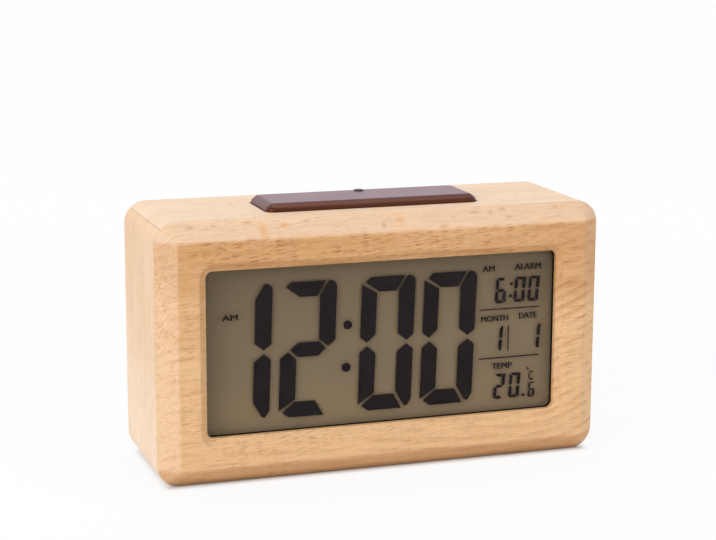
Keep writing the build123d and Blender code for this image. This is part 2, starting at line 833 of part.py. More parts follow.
# Domed blob of resin over the controller
blob_x, blob_z = on_board(*blob_shares)
blob_plane = Plane(origin=(blob_x, main_board_rear, blob_z), x_dir=(1, 0, 0), z_dir=(0, 0, 1))
with BuildPart() as controller_blob:
    with BuildSketch(blob_plane):
        with BuildLine():
            dome = TangentArc((0, blob_height), (blob_radius, 0), tangent=(1, 0))
            Polyline(dome @ 1, (0, 0), dome @ 0)
        make_face()
    revolve(axis=Axis(blob_plane.origin, (0, 1, 0)))
finish(controller_blob, "controller_blob")

with BuildPart() as crystal:
    crystal_x, crystal_z = on_board(*crystal_shares)
    with BuildSketch(Plane.YZ.offset(crystal_x)):
        with Locations((main_board_rear + crystal_radius, crystal_z)):
            Circle(crystal_radius)
    extrude(amount=crystal_length)
finish(crystal, "crystal")

with BuildPart() as capacitors:
    with BuildSketch(behind(main_board_rear)):
        with Locations(tuple(on_board(-capacitor_shares[0], capacitor_shares[1]))):
            with GridLocations(capacitor_spacing, 0, 2, 1):
                Circle(capacitor_radius)
    extrude(amount=capacitor_height)
finish(capacitors, "capacitors")

with BuildPart() as chip_parts:
    with BuildSketch(behind(main_board_rear)):
        with Locations(tuple(on_board(-chip_shares[0], chip_shares[1]))):
            with GridLocations(chip_spacing_x, chip_spacing_z, 4, 2):
                Rectangle(chip_length, chip_width)
    extrude(amount=chip_height)
finish(chip_parts, "chip_parts")

# Thermistor bead standing on two legs behind the vents
with BuildPart() as thermistor:
    bead_x, bead_z = on_board(*bead_shares)
    with BuildSketch(behind(main_board_rear)):
        with Locations((-bead_x, bead_z)):
            with GridLocations(bead_leg_spacing, 0, 2, 1):
                Circle(bead_leg_radius)
    extrude(amount=bead_standoff)
    with Locations((bead_x, main_board_rear + bead_standoff, bead_z)):
        Sphere(bead_radius)
finish(thermistor, "thermistor")

# Snooze bar: a hollow cap with end tabs that catch under the top plank
with BuildPart() as snooze_bar:
    with BuildSketch(Plane.XY.offset(bar_bottom)):
        RectangleRounded(bar_length, bar_width, bar_corner)
    extrude(amount=bar_top - bar_chamfer_height - bar_bottom)
    with BuildSketch(Plane.XY.offset(bar_top - bar_chamfer_height)):
        RectangleRounded(bar_length, bar_width, bar_corner)
    extrude(amount=bar_chamfer_height, taper=degrees(atan(bar_chamfer_inset / bar_chamfer_height)))
    loops = snooze_bar.edges().group_by(Axis.Z)
    fillet(loops[-1] + loops[-3], bar_ease)
    with BuildSketch(Plane.XY.offset(bar_bottom)):
        Rectangle(bar_length - 2 * bar_wall, bar_width - 2 * bar_wall)
    extrude(amount=bar_top - bar_roof - bar_bottom, mode=Mode.SUBTRACT)
    with BuildSketch(Plane.XY.offset(bar_bottom)):
        with GridLocations(bar_length + bar_tab_reach, 0, 2, 1):
            Rectangle(bar_tab_reach, bar_tab_width)
    extrude(amount=bar_tab_thickness)
    with BuildSketch(Plane.XY.offset(bar_bottom)):
        with Locations(*bar_spring_spots):
            Circle(bar_post_radius)
    extrude(amount=bar_top - bar_roof - bar_bottom)
    with BuildSketch(Plane.XY.offset(snooze_plunger_top)):
        Circle(bar_post_radius)
    extrude(amount=bar_top - bar_roof - snooze_plunger_top)
    with Locations(Plane.XY.offset(bar_top)):
        with Locations((sensor_x, sensor_y)):
            Hole(sensor_lens_radius, bar_roof)
finish(snooze_bar, "snooze_bar")

# Rod of clear plastic with a domed top
with BuildPart() as sensor_lens:
    with BuildSketch(Plane.XY.offset(bar_top - sensor_lens_length)):
        with Locations((sensor_x, sensor_y)):
            Circle(sensor_lens_radius)
    extrude(amount=sensor_lens_length + sensor_lens_rise)
    fillet(sensor_lens.edges().filter_by(GeomType.CIRCLE).sort_by(Axis.Z)[-1], sensor_lens_rise)
finish(sensor_lens, "sensor_lens")

with BuildPart() as snooze_plunger:
    with BuildSketch(Plane.XY.offset(snooze_switch_top - plunger_seat)):
        Circle(plunger_radius)
    extrude(amount=snooze_plunger_top - snooze_switch_top + plunger_seat)
finish(snooze_plunger, "snooze_plunger")

with BuildPart() as snooze_springs:
    for x, y in bar_spring_spots:
        seat = Plane.XY.offset(holder_top).move(Location((x, y, 0)))
        turns, line = coil(seat, bar_spring_radius, bar_spring_wire, bar_spring_height, bar_spring_turns)
        add(turns.part)
report_gap("snooze_springs", line, bar_spring_radius, bar_spring_wire)
finish(snooze_springs, "snooze_springs")

# Holder: a bridge under the bar, with ears that screw up into the top plank
with BuildPart() as bar_holder:
    with BuildSketch(Plane.XY.offset(holder_bottom)):
        with Locations((0, holder_y)):
            Rectangle(holder_outer, holder_width)
    extrude(amount=ceiling_z - holder_bottom)
    with BuildSketch(Plane.XY.offset(ceiling_z - holder_thickness)):
        with Locations((0, holder_y)):
            Rectangle(holder_outer + 2 * holder_ear, holder_width)
    extrude(amount=holder_thickness)
    with BuildSketch(Plane.XY.offset(holder_top)):
        with Locations((0, holder_y)):
            Rectangle(holder_inner, holder_width)
    extrude(amount=ceiling_z - holder_top, mode=Mode.SUBTRACT)
    with BuildSketch(Plane.XY.offset(holder_top)):
        with Locations(*bar_spring_spots):
            Circle(holder_peg_radius)
    extrude(amount=holder_peg_height)
    with BuildSketch(Plane.XY.offset(holder_top)):
        with Locations(*snooze_peg_spots):
            Circle(holder_peg_radius)
    extrude(amount=snooze_board_thickness + snooze_peg_rise)
    with BuildSketch(Plane.XY.offset(holder_bottom)):
        with Locations((snooze_ribbon_x, snooze_ribbon_y)):
            Rectangle(snooze_ribbon_width + 2 * snooze_ribbon_gap, ribbon_thickness + 2 * snooze_ribbon_gap)
    extrude(amount=holder_thickness, mode=Mode.SUBTRACT)
    with Locations(beneath(ceiling_z - holder_thickness)):
        with Locations(*[(x, -y) for x, y in holder_screw_spots]):
            Hole(screw_shank_radius + screw_gap, holder_thickness)
finish(bar_holder, "bar_holder")
finish(pan_screws(beneath(ceiling_z - holder_thickness), [(x, -y) for x, y in holder_screw_spots],
                  holder_screw_length), "holder_screws")

with BuildPart() as snooze_board:
    with BuildSketch(Plane.XY.offset(holder_top)):
        with Locations((0, holder_y)):
            Rectangle(snooze_board_length, snooze_board_width)
        with Locations(*snooze_peg_spots):
            Circle(holder_peg_radius + screw_gap, mode=Mode.SUBTRACT)
    extrude(amount=snooze_board_thickness)
finish(snooze_board, "snooze_board")


# A square push switch with a well for its plunger, standing on a plane
def push_switches(plane, spots):
    with BuildPart() as switches:
        with BuildSketch(plane):
            with Locations(*spots):
                RectangleRounded(switch_side, switch_side, switch_ease)
        extrude(amount=switch_height)
        with BuildSketch(plane.offset(switch_height)):
            with Locations(*spots):
                Circle(plunger_radius + cap_gap)
        extrude(amount=-switch_well, mode=Mode.SUBTRACT)
    return switches


finish(push_switches(Plane.XY.offset(snooze_board_top), [(0, 0)]), "snooze_switch")

with BuildPart() as light_sensor:
    with BuildSketch(Plane.XY.offset(snooze_board_top)):
        with Locations((sensor_x, sensor_y)):
            Circle(sensor_radius)
    extrude(amount=sensor_height)
    fillet(light_sensor.edges().filter_by(GeomType.CIRCLE).sort_by(Axis.Z)[-1], sensor_radius / 2)
finish(light_sensor, "light_sensor")

# Back cover with the battery bay, the hinge trough, the buzzer's seat and the key board's bosses
with BuildPart() as back_cover:
    with BuildSketch(facing(cover_rear, mid_z)):
        RectangleRounded(cover_width, cover_height, cover_corner)
    extrude(amount=cover_thickness)
    with BuildSketch(facing(cover_front, bay_z)):
        Rectangle(bay_length + 2 * bay_wall, bay_height + 2 * bay_wall)
    extrude(amount=cover_front - bay_floor + bay_wall)
    with BuildSketch(facing(cover_front, (hinge_block_bottom + bay_bottom) / 2)):
        Rectangle(hinge_block_length, bay_bottom - hinge_block_bottom)
    extrude(amount=hinge_block_depth)
    with BuildSketch(facing(cover_front)):
        with Locations((-side_feature_x, side_feature_z)):
            Circle(buzzer_post_radius)
    extrude(amount=buzzer_ledge_depth + buzzer_rim_rise)
    with BuildSketch(facing(cover_front)):
        with Locations((0, key_z)):
            with GridLocations(button_spacing, key_boss_spacing, button_count - 1, 2):
                Circle(key_boss_radius)
    extrude(amount=cover_front - key_board_rear)
    with BuildSketch(facing(cover_rear, bay_z)):
        Rectangle(bay_length, bay_height)
    extrude(amount=cover_rear - bay_floor, mode=Mode.SUBTRACT)
    with BuildSketch(facing(cover_rear, (recess_top + recess_bottom) / 2)):
        Rectangle(channel_length, recess_top - recess_bottom)
    extrude(amount=door_thickness, mode=Mode.SUBTRACT)
    with BuildSketch(facing(cover_rear, recess_top + scoop_rise - scoop_radius)):
        Circle(scoop_radius)
    extrude(amount=scoop_depth, mode=Mode.SUBTRACT)
    with BuildSketch(Plane.YZ.offset(-channel_length / 2)):
        with Locations((hinge_y, hinge_z)):
            Circle(channel_radius)
    extrude(amount=channel_length, mode=Mode.SUBTRACT)
    with BuildSketch(Plane.YZ.offset(-channel_length / 2 - pin_length)):
        with Locations((hinge_y, hinge_z)):
            Circle(pin_radius + pin_gap)
    extrude(amount=channel_length + 2 * pin_length, mode=Mode.SUBTRACT)
    with BuildSketch(facing(cover_front)):
        with Locations((-side_feature_x, side_feature_z)):
            Circle(buzzer_ledge_radius)
    extrude(amount=buzzer_ledge_depth, mode=Mode.SUBTRACT)
    with BuildSketch(facing(buzzer_front)):
        with Locations((-side_feature_x, side_feature_z)):
            Circle(buzzer_rim_radius)
    extrude(amount=buzzer_rim_rise, mode=Mode.SUBTRACT)
    with BuildSketch(facing(cover_rear)):
        with Locations((-side_feature_x, side_feature_z)):
            Circle(sound_hole_radius)
            for ring_share, ring_count in zip(sound_ring_shares, sound_ring_counts):
                with PolarLocations(ring_share * buzzer_ledge_radius, ring_count):
                    Circle(sound_hole_radius)
        with Locations((side_feature_x, side_feature_z)):
            with GridLocations(0, vent_spacing, 1, vent_count):
                SlotOverall(vent_length, vent_width)
        with Locations(*[(x, key_z) for x in button_places]):
            SlotOverall(button_length + 2 * cap_gap, button_width + 2 * cap_gap)
        with Locations(*[(x, key_z) for x in slider_places]):
            Rectangle(slider_slot_length, slider_slot_width)
    extrude(amount=cover_thickness, mode=Mode.SUBTRACT)
    with Locations(behind(cover_rear, mid_z)):
        with GridLocations(2 * cover_screw_x, 2 * cover_screw_rise, 2, 2):
            CounterSinkHole(screw_shank_radius + screw_gap, cover_head_radius + screw_gap, cover_thickness,
                            cover_sink_angle)
    with Locations(facing(key_board_rear, key_z)):
        with GridLocations(button_spacing, key_boss_spacing, button_count - 1, 2):
            Hole(screw_shank_radius + screw_gap, key_pilot_depth)
    with BuildSketch(Plane.YZ.offset(bay_length / 2)):
        with Locations(*[(tab_y, z) for z in cell_heights]):
            Rectangle(contact_thickness + 2 * tab_slot_gap, tab_width + 2 * tab_slot_gap)
    extrude(amount=bay_wall, mode=Mode.SUBTRACT)
finish(back_cover, "back_cover")

# Countersunk screws with cross slots
sink_depth = (cover_head_radius - screw_shank_radius) / tan(radians(cover_sink_angle / 2))
slot_span = 2 * screw_slot_share * cover_head_radius
with BuildPart() as cover_screws:
    with Locations(behind(cover_rear, mid_z)):
        with GridLocations(2 * cover_screw_x, 2 * cover_screw_rise, 2, 2):
            Cone(screw_shank_radius, cover_head_radius, sink_depth, align=driven)
            Cylinder(screw_shank_radius, cover_screw_length, align=driven)
            Box(slot_span, screw_slot_width, sink_depth, mode=Mode.SUBTRACT)
            Box(screw_slot_width, slot_span, sink_depth, mode=Mode.SUBTRACT)
finish(cover_screws, "cover_screws")

# Battery door: a plate with a barrel along its lower edge and a pin at each end of it
with BuildPart() as battery_door:
    with BuildSketch(facing(cover_rear, (door_top + hinge_z) / 2)):
        Rectangle(door_width, door_top - hinge_z)
    extrude(amount=door_thickness)
    with BuildSketch(Plane.YZ.offset(-door_width / 2)):
        with Locations((hinge_y, hinge_z)):
            Circle(barrel_radius)
    extrude(amount=door_width)
    with BuildSketch(Plane.YZ.offset(-door_width / 2 - pin_length)):
        with Locations((hinge_y, hinge_z)):
            Circle(pin_radius)
    extrude(amount=door_width + 2 * pin_length)
    with BuildSketch(behind(cover_rear, door_top - rib_inset)):
        with GridLocations(0, rib_spacing, 1, rib_count):
            SlotOverall(rib_length, rib_width)
    extrude(amount=rib_height)
finish(battery_door, "battery_door")

# Cells lie head to tail, each with its nub against a flat contact
with BuildPart() as battery_cells:
    for z, turn in zip(cell_heights, cell_turns):
        nub_end = Plane(origin=(turn * contact_x, cell_y, z), x_dir=(0, 1, 0), z_dir=(-turn, 0, 0))
        with BuildSketch(nub_end):
            Circle(cell_nub_radius)
        extrude(amount=cell_nub_height)
        with BuildSketch(nub_end.offset(cell_nub_height)):
            Circle(cell_radius)
        extrude(amount=cell_length - cell_nub_height)
    rims = battery_cells.edges().filter_by(GeomType.CIRCLE)
    fillet(rims.filter_by(lambda rim: rim.radius > cell_nub_radius), cell_ease)
finish(battery_cells, "battery_cells")

with BuildPart() as battery_springs:
    for z, turn in zip(cell_heights, cell_turns):
        seat = Plane(origin=(-turn * contact_x, cell_y, z), x_dir=(0, 0, 1), z_dir=(turn, 0, 0))
        turns, line = coil(seat, cell_spring_radius, cell_spring_wire, cell_spring_height, cell_spring_turns)
        add(turns.part)
report_gap("battery_springs", line, cell_spring_radius, cell_spring_wire)
finish(battery_springs, "battery_springs")


# A contact plate on an end wall of the bay that reaches over the given cells
def contact_plate(side, low, high, with_tab):
    with BuildPart() as plate:
        with BuildSketch(Plane.YZ.offset(side * contact_x)):
            with Locations((cell_y, (low + high) / 2)):
                Rectangle(contact_width, high - low + contact_width)
        extrude(amount=side * contact_thickness)
        if with_tab:
            with BuildSketch(Plane.YZ.offset(side * contact_x)):
                with Locations((tab_y, (low + high) / 2)):
                    Rectangle(contact_thickness, tab_width)
            extrude(amount=side * (tab_end - contact_x))
    return plate.part


with BuildPart() as battery_contacts:
    add(contact_plate(-1, cell_heights[0], cell_heights[-1], False))
    for z in cell_heights:
        add(contact_plate(1, z, z, True))
finish(battery_contacts, "battery_contacts")


# Route of a battery lead: straight out of its tab, then up or down to the main board
def battery_route(z, rise):
    out_x = tab_end + lead_reach
    half_y = (tab_y + main_board_rear) / 2
    return [(tab_end, tab_y, z), (out_x, tab_y, z), (out_x, half_y, z + rise),
            (out_x, main_board_rear, z + rise)]


finish(wire(battery_route(cell_heights[-1], lead_rise), lead_radius), "battery_lead_red")
finish(wire(battery_route(cell_heights[0], -lead_rise), lead_radius), "battery_lead_black")

# Buttons, each with the plunger of its switch
for name, x in zip(button_names, button_places):
    with BuildPart() as button:
        with BuildSketch(facing(button_flange_rear, key_z)):
            with Locations((x, 0)):
                SlotOverall(button_length + 2 * button_flange_reach, button_width + 2 * button_flange_reach)
        extrude(amount=button_flange_thickness)
        with BuildSketch(behind(button_flange_rear, key_z)):
            with Locations((-x, 0)):
                SlotOverall(button_length, button_width)
        extrude(amount=cover_rear + button_proud - button_flange_rear)
        fillet(button.faces().sort_by(Axis.Y)[-1].edges(), button_ease)
    finish(button, f"{name}_button")
    with BuildPart() as plunger:
        with BuildSketch(facing(button_flange_front, key_z)):
            with Locations((x, 0)):
                Circle(plunger_radius)
        extrude(amount=button_flange_front - key_switch_rear + plunger_seat)
    finish(plunger, f"{name}_plunger")

# Slide knobs, at the end of their travel nearer to the left as seen from the front
for name, x in zip(slider_names, slider_places):
    start_x = x - slider_travel / 2
    with BuildPart() as slider:
        with BuildSketch(facing(button_flange_rear, key_z)):
            with Locations((start_x, 0)):
                Rectangle(slider_flange_length, slider_flange_width)
        extrude(amount=button_flange_thickness)
        with BuildSketch(behind(button_flange_rear, key_z)):
            with Locations((-start_x, 0)):
                Rectangle(slider_length, slider_width)
        extrude(amount=cover_rear + slider_proud - button_flange_rear)
        with BuildSketch(facing(button_flange_front, key_z)):
            with Locations((start_x, 0)):
                Rectangle(slider_stem, slider_stem)
        extrude(amount=button_flange_front - key_switch_rear + slider_stem_seat)
        with BuildSketch(facing(cover_rear + slider_proud, key_z)):
            with Locations((start_x, 0)):
                with GridLocations(slider_groove_spacing, 0, slider_groove_count, 1):
                    Rectangle(slider_groove_width, slider_width)
        extrude(amount=slider_groove_depth, mode=Mode.SUBTRACT)
    finish(slider, f"{name}_slider")

# Key board with its switches
key_boss_spots = [((first + second) / 2, row * key_boss_spacing / 2)
                  for first, second in zip(button_places, button_places[1:]) for row in (-1, 1)]
with BuildPart() as key_board:
    with BuildSketch(facing(key_board_rear, key_z)):
        Rectangle(key_board_width, key_board_height)
        with Locations(*key_boss_spots):
            Circle(screw_shank_radius + screw_gap, mode=Mode.SUBTRACT)
    extrude(amount=board_thickness)
finish(key_board, "key_board")
finish(pan_screws(facing(key_board_front, key_z), key_boss_spots, key_screw_length), "key_board_screws")
finish(push_switches(behind(key_board_rear, key_z), [(-x, 0) for x in button_places]), "key_switches")

with BuildPart() as slide_switches:
    with BuildSketch(behind(key_board_rear, key_z)):
        with Locations(*[(-x, 0) for x in slider_places]):
            Rectangle(slide_switch_length, slide_switch_width)
    extrude(amount=switch_height)
    with BuildSketch(behind(key_switch_rear, key_z)):
        with Locations(*[(-x, 0) for x in slider_places]):
            Rectangle(slider_stem + slider_travel + 2 * cap_gap, slider_stem + 2 * cap_gap)
    extrude(amount=-slider_stem_seat - cap_gap, mode=Mode.SUBTRACT)
finish(slide_switches, "slide_switches")

# Buzzer: a metal disc with a smaller ceramic disc on it
with BuildPart() as buzzer:
    with BuildSketch(facing(buzzer_front)):
        with Locations((-side_feature_x, side_feature_z)):
            Circle(buzzer_radius)
    extrude(amount=buzzer_thickness)
    with BuildSketch(facing(buzzer_front - buzzer_thickness)):
        with Locations((-side_feature_x, side_feature_z)):
            Circle(buzzer_ceramic_radius)
    extrude(amount=buzzer_ceramic_thickness)
finish(buzzer, "buzzer")


# Route of a buzzer lead from a height on the disc to the main board
def buzzer_route(start_y, rise):
    start_z = side_feature_z + rise
    end_x = lead_rise - side_feature_x
    third = (start_y - main_board_rear) / 3
    end_z = start_z + lead_rise
    return [(-side_feature_x, start_y, start_z), (-side_feature_x, start_y - third, start_z),
            (end_x, main_board_rear + third, end_z), (end_x, main_board_rear, end_z)]


ceramic_face = buzzer_front - buzzer_thickness - buzzer_ceramic_thickness
metal_face = buzzer_front - buzzer_thickness
metal_rise = (buzzer_radius + buzzer_ceramic_radius) / 2
with BuildPart() as buzzer_leads:
    add(wire(buzzer_route(ceramic_face, buzzer_lead_spread), buzzer_lead_radius).part)
    add(wire(buzzer_route(metal_face, -metal_rise), buzzer_lead_radius).part)
finish(buzzer_leads, "buzzer_leads")


# A flat ribbon along points in a plane across X, centred on a place along X
def ribbon(x, width, points):
    with BuildPart() as band:
        with BuildSketch(Plane.YZ.offset(x - width / 2)):
            with BuildLine():
                FilletPolyline(*points, radius=ribbon_bend)
            trace(line_width=ribbon_thickness)
        extrude(amount=width)
    return band


key_ribbon_x = key_board_width / 2 - key_ribbon_inset
key_ribbon_mid = (key_board_front + main_board_rear) / 2
finish(ribbon(key_ribbon_x, key_ribbon_width,
              [(key_board_front, key_z), (key_ribbon_mid, key_z), (key_ribbon_mid, key_z - key_ribbon_drop),
               (main_board_rear, key_z - key_ribbon_drop)]), "key_ribbon")
finish(ribbon(snooze_ribbon_x, snooze_ribbon_width,
              [(snooze_ribbon_y, holder_top), (snooze_ribbon_y, holder_top - snooze_ribbon_drop),
               (main_board_rear, holder_top - snooze_ribbon_drop)]), "snooze_ribbon")
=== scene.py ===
import math

import bmesh
import bpy
from mathutils import Matrix, Vector


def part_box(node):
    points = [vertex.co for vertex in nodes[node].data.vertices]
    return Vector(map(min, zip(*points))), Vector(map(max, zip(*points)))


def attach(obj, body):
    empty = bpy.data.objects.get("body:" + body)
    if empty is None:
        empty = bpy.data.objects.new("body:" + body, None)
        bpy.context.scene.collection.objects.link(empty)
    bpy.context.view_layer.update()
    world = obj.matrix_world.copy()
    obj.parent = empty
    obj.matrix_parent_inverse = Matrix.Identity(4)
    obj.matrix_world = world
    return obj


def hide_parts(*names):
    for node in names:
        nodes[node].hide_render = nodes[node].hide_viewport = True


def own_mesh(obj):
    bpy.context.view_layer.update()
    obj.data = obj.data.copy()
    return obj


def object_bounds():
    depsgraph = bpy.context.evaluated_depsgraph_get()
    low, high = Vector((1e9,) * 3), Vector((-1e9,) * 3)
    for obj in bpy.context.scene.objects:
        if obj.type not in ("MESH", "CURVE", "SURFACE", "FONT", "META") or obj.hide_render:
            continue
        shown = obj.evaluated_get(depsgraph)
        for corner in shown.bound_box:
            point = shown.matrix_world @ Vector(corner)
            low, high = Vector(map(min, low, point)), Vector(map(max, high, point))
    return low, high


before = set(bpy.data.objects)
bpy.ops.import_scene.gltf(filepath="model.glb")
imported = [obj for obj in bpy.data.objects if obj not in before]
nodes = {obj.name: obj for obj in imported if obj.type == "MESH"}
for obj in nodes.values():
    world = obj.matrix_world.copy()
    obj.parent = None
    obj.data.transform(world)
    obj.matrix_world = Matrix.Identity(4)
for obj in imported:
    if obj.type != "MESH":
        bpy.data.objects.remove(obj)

cadLow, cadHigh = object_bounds()
mm = 0.001
quarter = math.pi / 2
print("frame loaded,", len(nodes), "nodes")


# Shader helpers

def paint(red, green, blue):
    # a colour as seen on screen, 0 to 255, turned into the linear value that a shader takes
    def linear(value):
        share = value / 255
        return share / 12.92 if share <= 0.04045 else ((share + 0.055) / 1.055) ** 2.4
    return linear(red), linear(green), linear(blue), 1.0


def newMaterial(name, colour, roughness, **sockets):
    material = bpy.data.materials.new(name)
    material.use_nodes = True
    intoShader(material, Base_Color=colour, Roughness=roughness, **sockets)
    return material


def intoShader(material, **sockets):
    shader = material.node_tree.nodes["Principled BSDF"]
    for name, value in sockets.items():
        plug(material, value, shader.inputs[name.replace("_", " ")])


def plug(material, value, socket):
    if isinstance(value, bpy.types.NodeSocket):
        material.node_tree.links.new(value, socket)
    else:
        socket.default_value = value


def addNode(material, kind, settings=None, **sockets):
    # n0, n1 and so on name a socket by its number, any other word by its label
    node = material.node_tree.nodes.new("ShaderNode" + kind)
    for name, value in (settings or {}).items():
        setattr(node, name, value)
    for name, value in sockets.items():
        numbered = name[0] == "n" and name[1:].isdigit()
        plug(material, value, node.inputs[int(name[1:]) if numbered else name.replace("_", " ")])
    return node


def maths(material, operation, first, second=0.0, third=0.0):
    settings = {"operation": operation}
    return addNode(material, "Math", settings, n0=first, n1=second, n2=third).outputs[0]


def times(material, first, second):
    return maths(material, "MULTIPLY", first, second)


def scaled(material, value, gain, base):
    return maths(material, "MULTIPLY_ADD", value, gain, base)


def around(material, value, middle, spread):
    # a grey value near 0.5 moves a number up or down by up to half of the spread
    return scaled(material, value, spread, middle - spread / 2)


def between(material, share, first, second):
    return addNode(material, "Mix", n0=share, n2=first, n3=second).outputs[0]


def ramp(material, value, none, full):
    # 0 at the first limit, 1 at the second, smooth between them
    settings = {"interpolation_type": "SMOOTHSTEP"}
    return addNode(material, "MapRange", settings, n0=value, n1=none, n2=full).outputs["Result"]


def vectors(material, operation, first, second):
    return addNode(material, "VectorMath", {"operation": operation}, n0=first, n1=second).outputs[0]


def alongWay(material, coords, way):
    settings = {"operation": "DOT_PRODUCT"}
    return addNode(material, "VectorMath", settings, n0=coords, n1=way).outputs["Value"]


def lengthOf(material, vector):
    return addNode(material, "VectorMath", {"operation": "LENGTH"}, n0=vector).outputs["Value"]


def mixColours(material, share, first, second, mode="MIX"):
    settings = {"data_type": "RGBA", "blend_type": mode}
    return addNode(material, "Mix", settings, n0=share, n6=first, n7=second).outputs[2]


def tinted(material, colour, tint, value, share):
    # lays a tint over a colour, at its full share where the value is 1
    return mixColours(material, times(material, value, share), colour, tint)


def shaded(material, colour, value, spread):
    # a grey value near 0.5 lightens or darkens a colour by up to half of the spread
    level = around(material, value, 1.0, spread)
    grey = addNode(material, "CombineColor", n0=level, n1=level, n2=level).outputs[0]
    return mixColours(material, 1.0, colour, grey, "MULTIPLY")


def objectCoords(material):
    return addNode(material, "TexCoord").outputs["Object"]


def stretched(material, coords, scale, turn=(0, 0, 0), shift=(0, 0, 0)):
    place = {"Location": shift, "Rotation": turn, "Scale": scale}
    return addNode(material, "Mapping", Vector=coords, **place).outputs[0]


def perCell(cell):
    return [1 / size for size in cell]


def axisOf(material, coords, axis):
    return addNode(material, "SeparateXYZ", Vector=coords).outputs["XYZ".index(axis)]


def noise(material, coords, scale=1.0, detail=2.0):
    return addNode(material, "TexNoise", Vector=coords, Scale=scale, Detail=detail).outputs[0]


def bump(material, height, strength, distance):
    sockets = {"Height": height, "Strength": strength, "Distance": distance}
    return addNode(material, "Bump", **sockets).outputs[0]


def wear(material, *names):
    for name in names:
        mesh = nodes[name].data
        mesh.materials.clear()
        mesh.materials.append(material)


# Beech case: growth layers, short dark ray flecks, streaks, fine fibre, and the glue lines
# between the boards; a ramp is the value where something starts and the value where it is full

beechWood = {
    "driftStretch": (0.35, 1, 1),
    "driftScale": 16.0,
    "warp": 5.0 * mm,
    "layerTilt": (0.05, 0.5, 0.86),
    "layerStep": 2.9 * mm,
    "layerShare": 0.26,  # of the share that the flecks have
    "layerDarkens": (0.25, 0.90),
    "layerEnds": (1.0, 0.92),
    "breakScale": (80, 320, 320),
    "breakRamp": (0.34, 0.68),
    "fleckCell": (4.4 * mm, 1.5 * mm, 0.36 * mm),
    "fleckPick": 0.55,
    "fineCell": (2.3 * mm, 0.9 * mm, 0.23 * mm),
    "finePick": 0.50,
    "fineShare": 0.7,
    "fleckSlope": math.radians(6),
    "dashEdge": (0.44, 0.18),
    "pickRange": (0.7, 1.3),
    "patchStretch": (0.5, 1, 1),
    "patchScale": 70.0,
    "patchRamp": (0.26, 0.56),
    "streakCell": (15.0 * mm, 0.8 * mm, 0.8 * mm),
    "streakRamp": (0.48, 0.74),
    "streakShare": 0.6,
    "fibreCell": (9.0 * mm, 0.32 * mm, 0.32 * mm),
    "fibreSpread": 0.3,
    "fineDetail": 3.0,
    "toneScale": (12, 80, 80),
    "toneRamp": (0.32, 0.68),
    # painted light: the side planks paler towards the bottom
    "footLightTone": paint(248, 226, 202),
    "footLightRange": (0.7, 0.1),  # shares of the case's height
    "glueColour": paint(142, 84, 40),
    "glueEdge": (0.32 * mm, 0.08 * mm),
    "glueBreaks": (0.25, 0.75),
    "seamShare": 0.3,
    "mitreShare": 0.85,
    "roughness": 0.55,
    "roughSpread": 0.14,
    "varnish": 0.3,
    "varnishRoughness": 0.42,
    "gloss": 0.25,
    "relief": 0.4,
    "bumpStrength": 0.12,
    "bumpDepth": 0.15 * mm,
}
frontTones = {
    "light": paint(232, 188, 139),
    "deep": paint(213, 162, 110),
    "streak": paint(196, 140, 86),
    "fleck": paint(156, 88, 30),
}
# the top plank's own tones, made paler than the side planks' as a painted sheen of the light on the
# top
topTonesAndSheen = {
    "light": paint(236, 210, 182),
    "deep": paint(229, 198, 165),
    "streak": paint(221, 186, 150),
    "fleck": paint(186, 134, 86),
}
plankTones = {
    "light": paint(234, 200, 164),
    "deep": paint(226, 189, 150),
    "streak": paint(217, 175, 133),
    "fleck": paint(182, 130, 82),
}

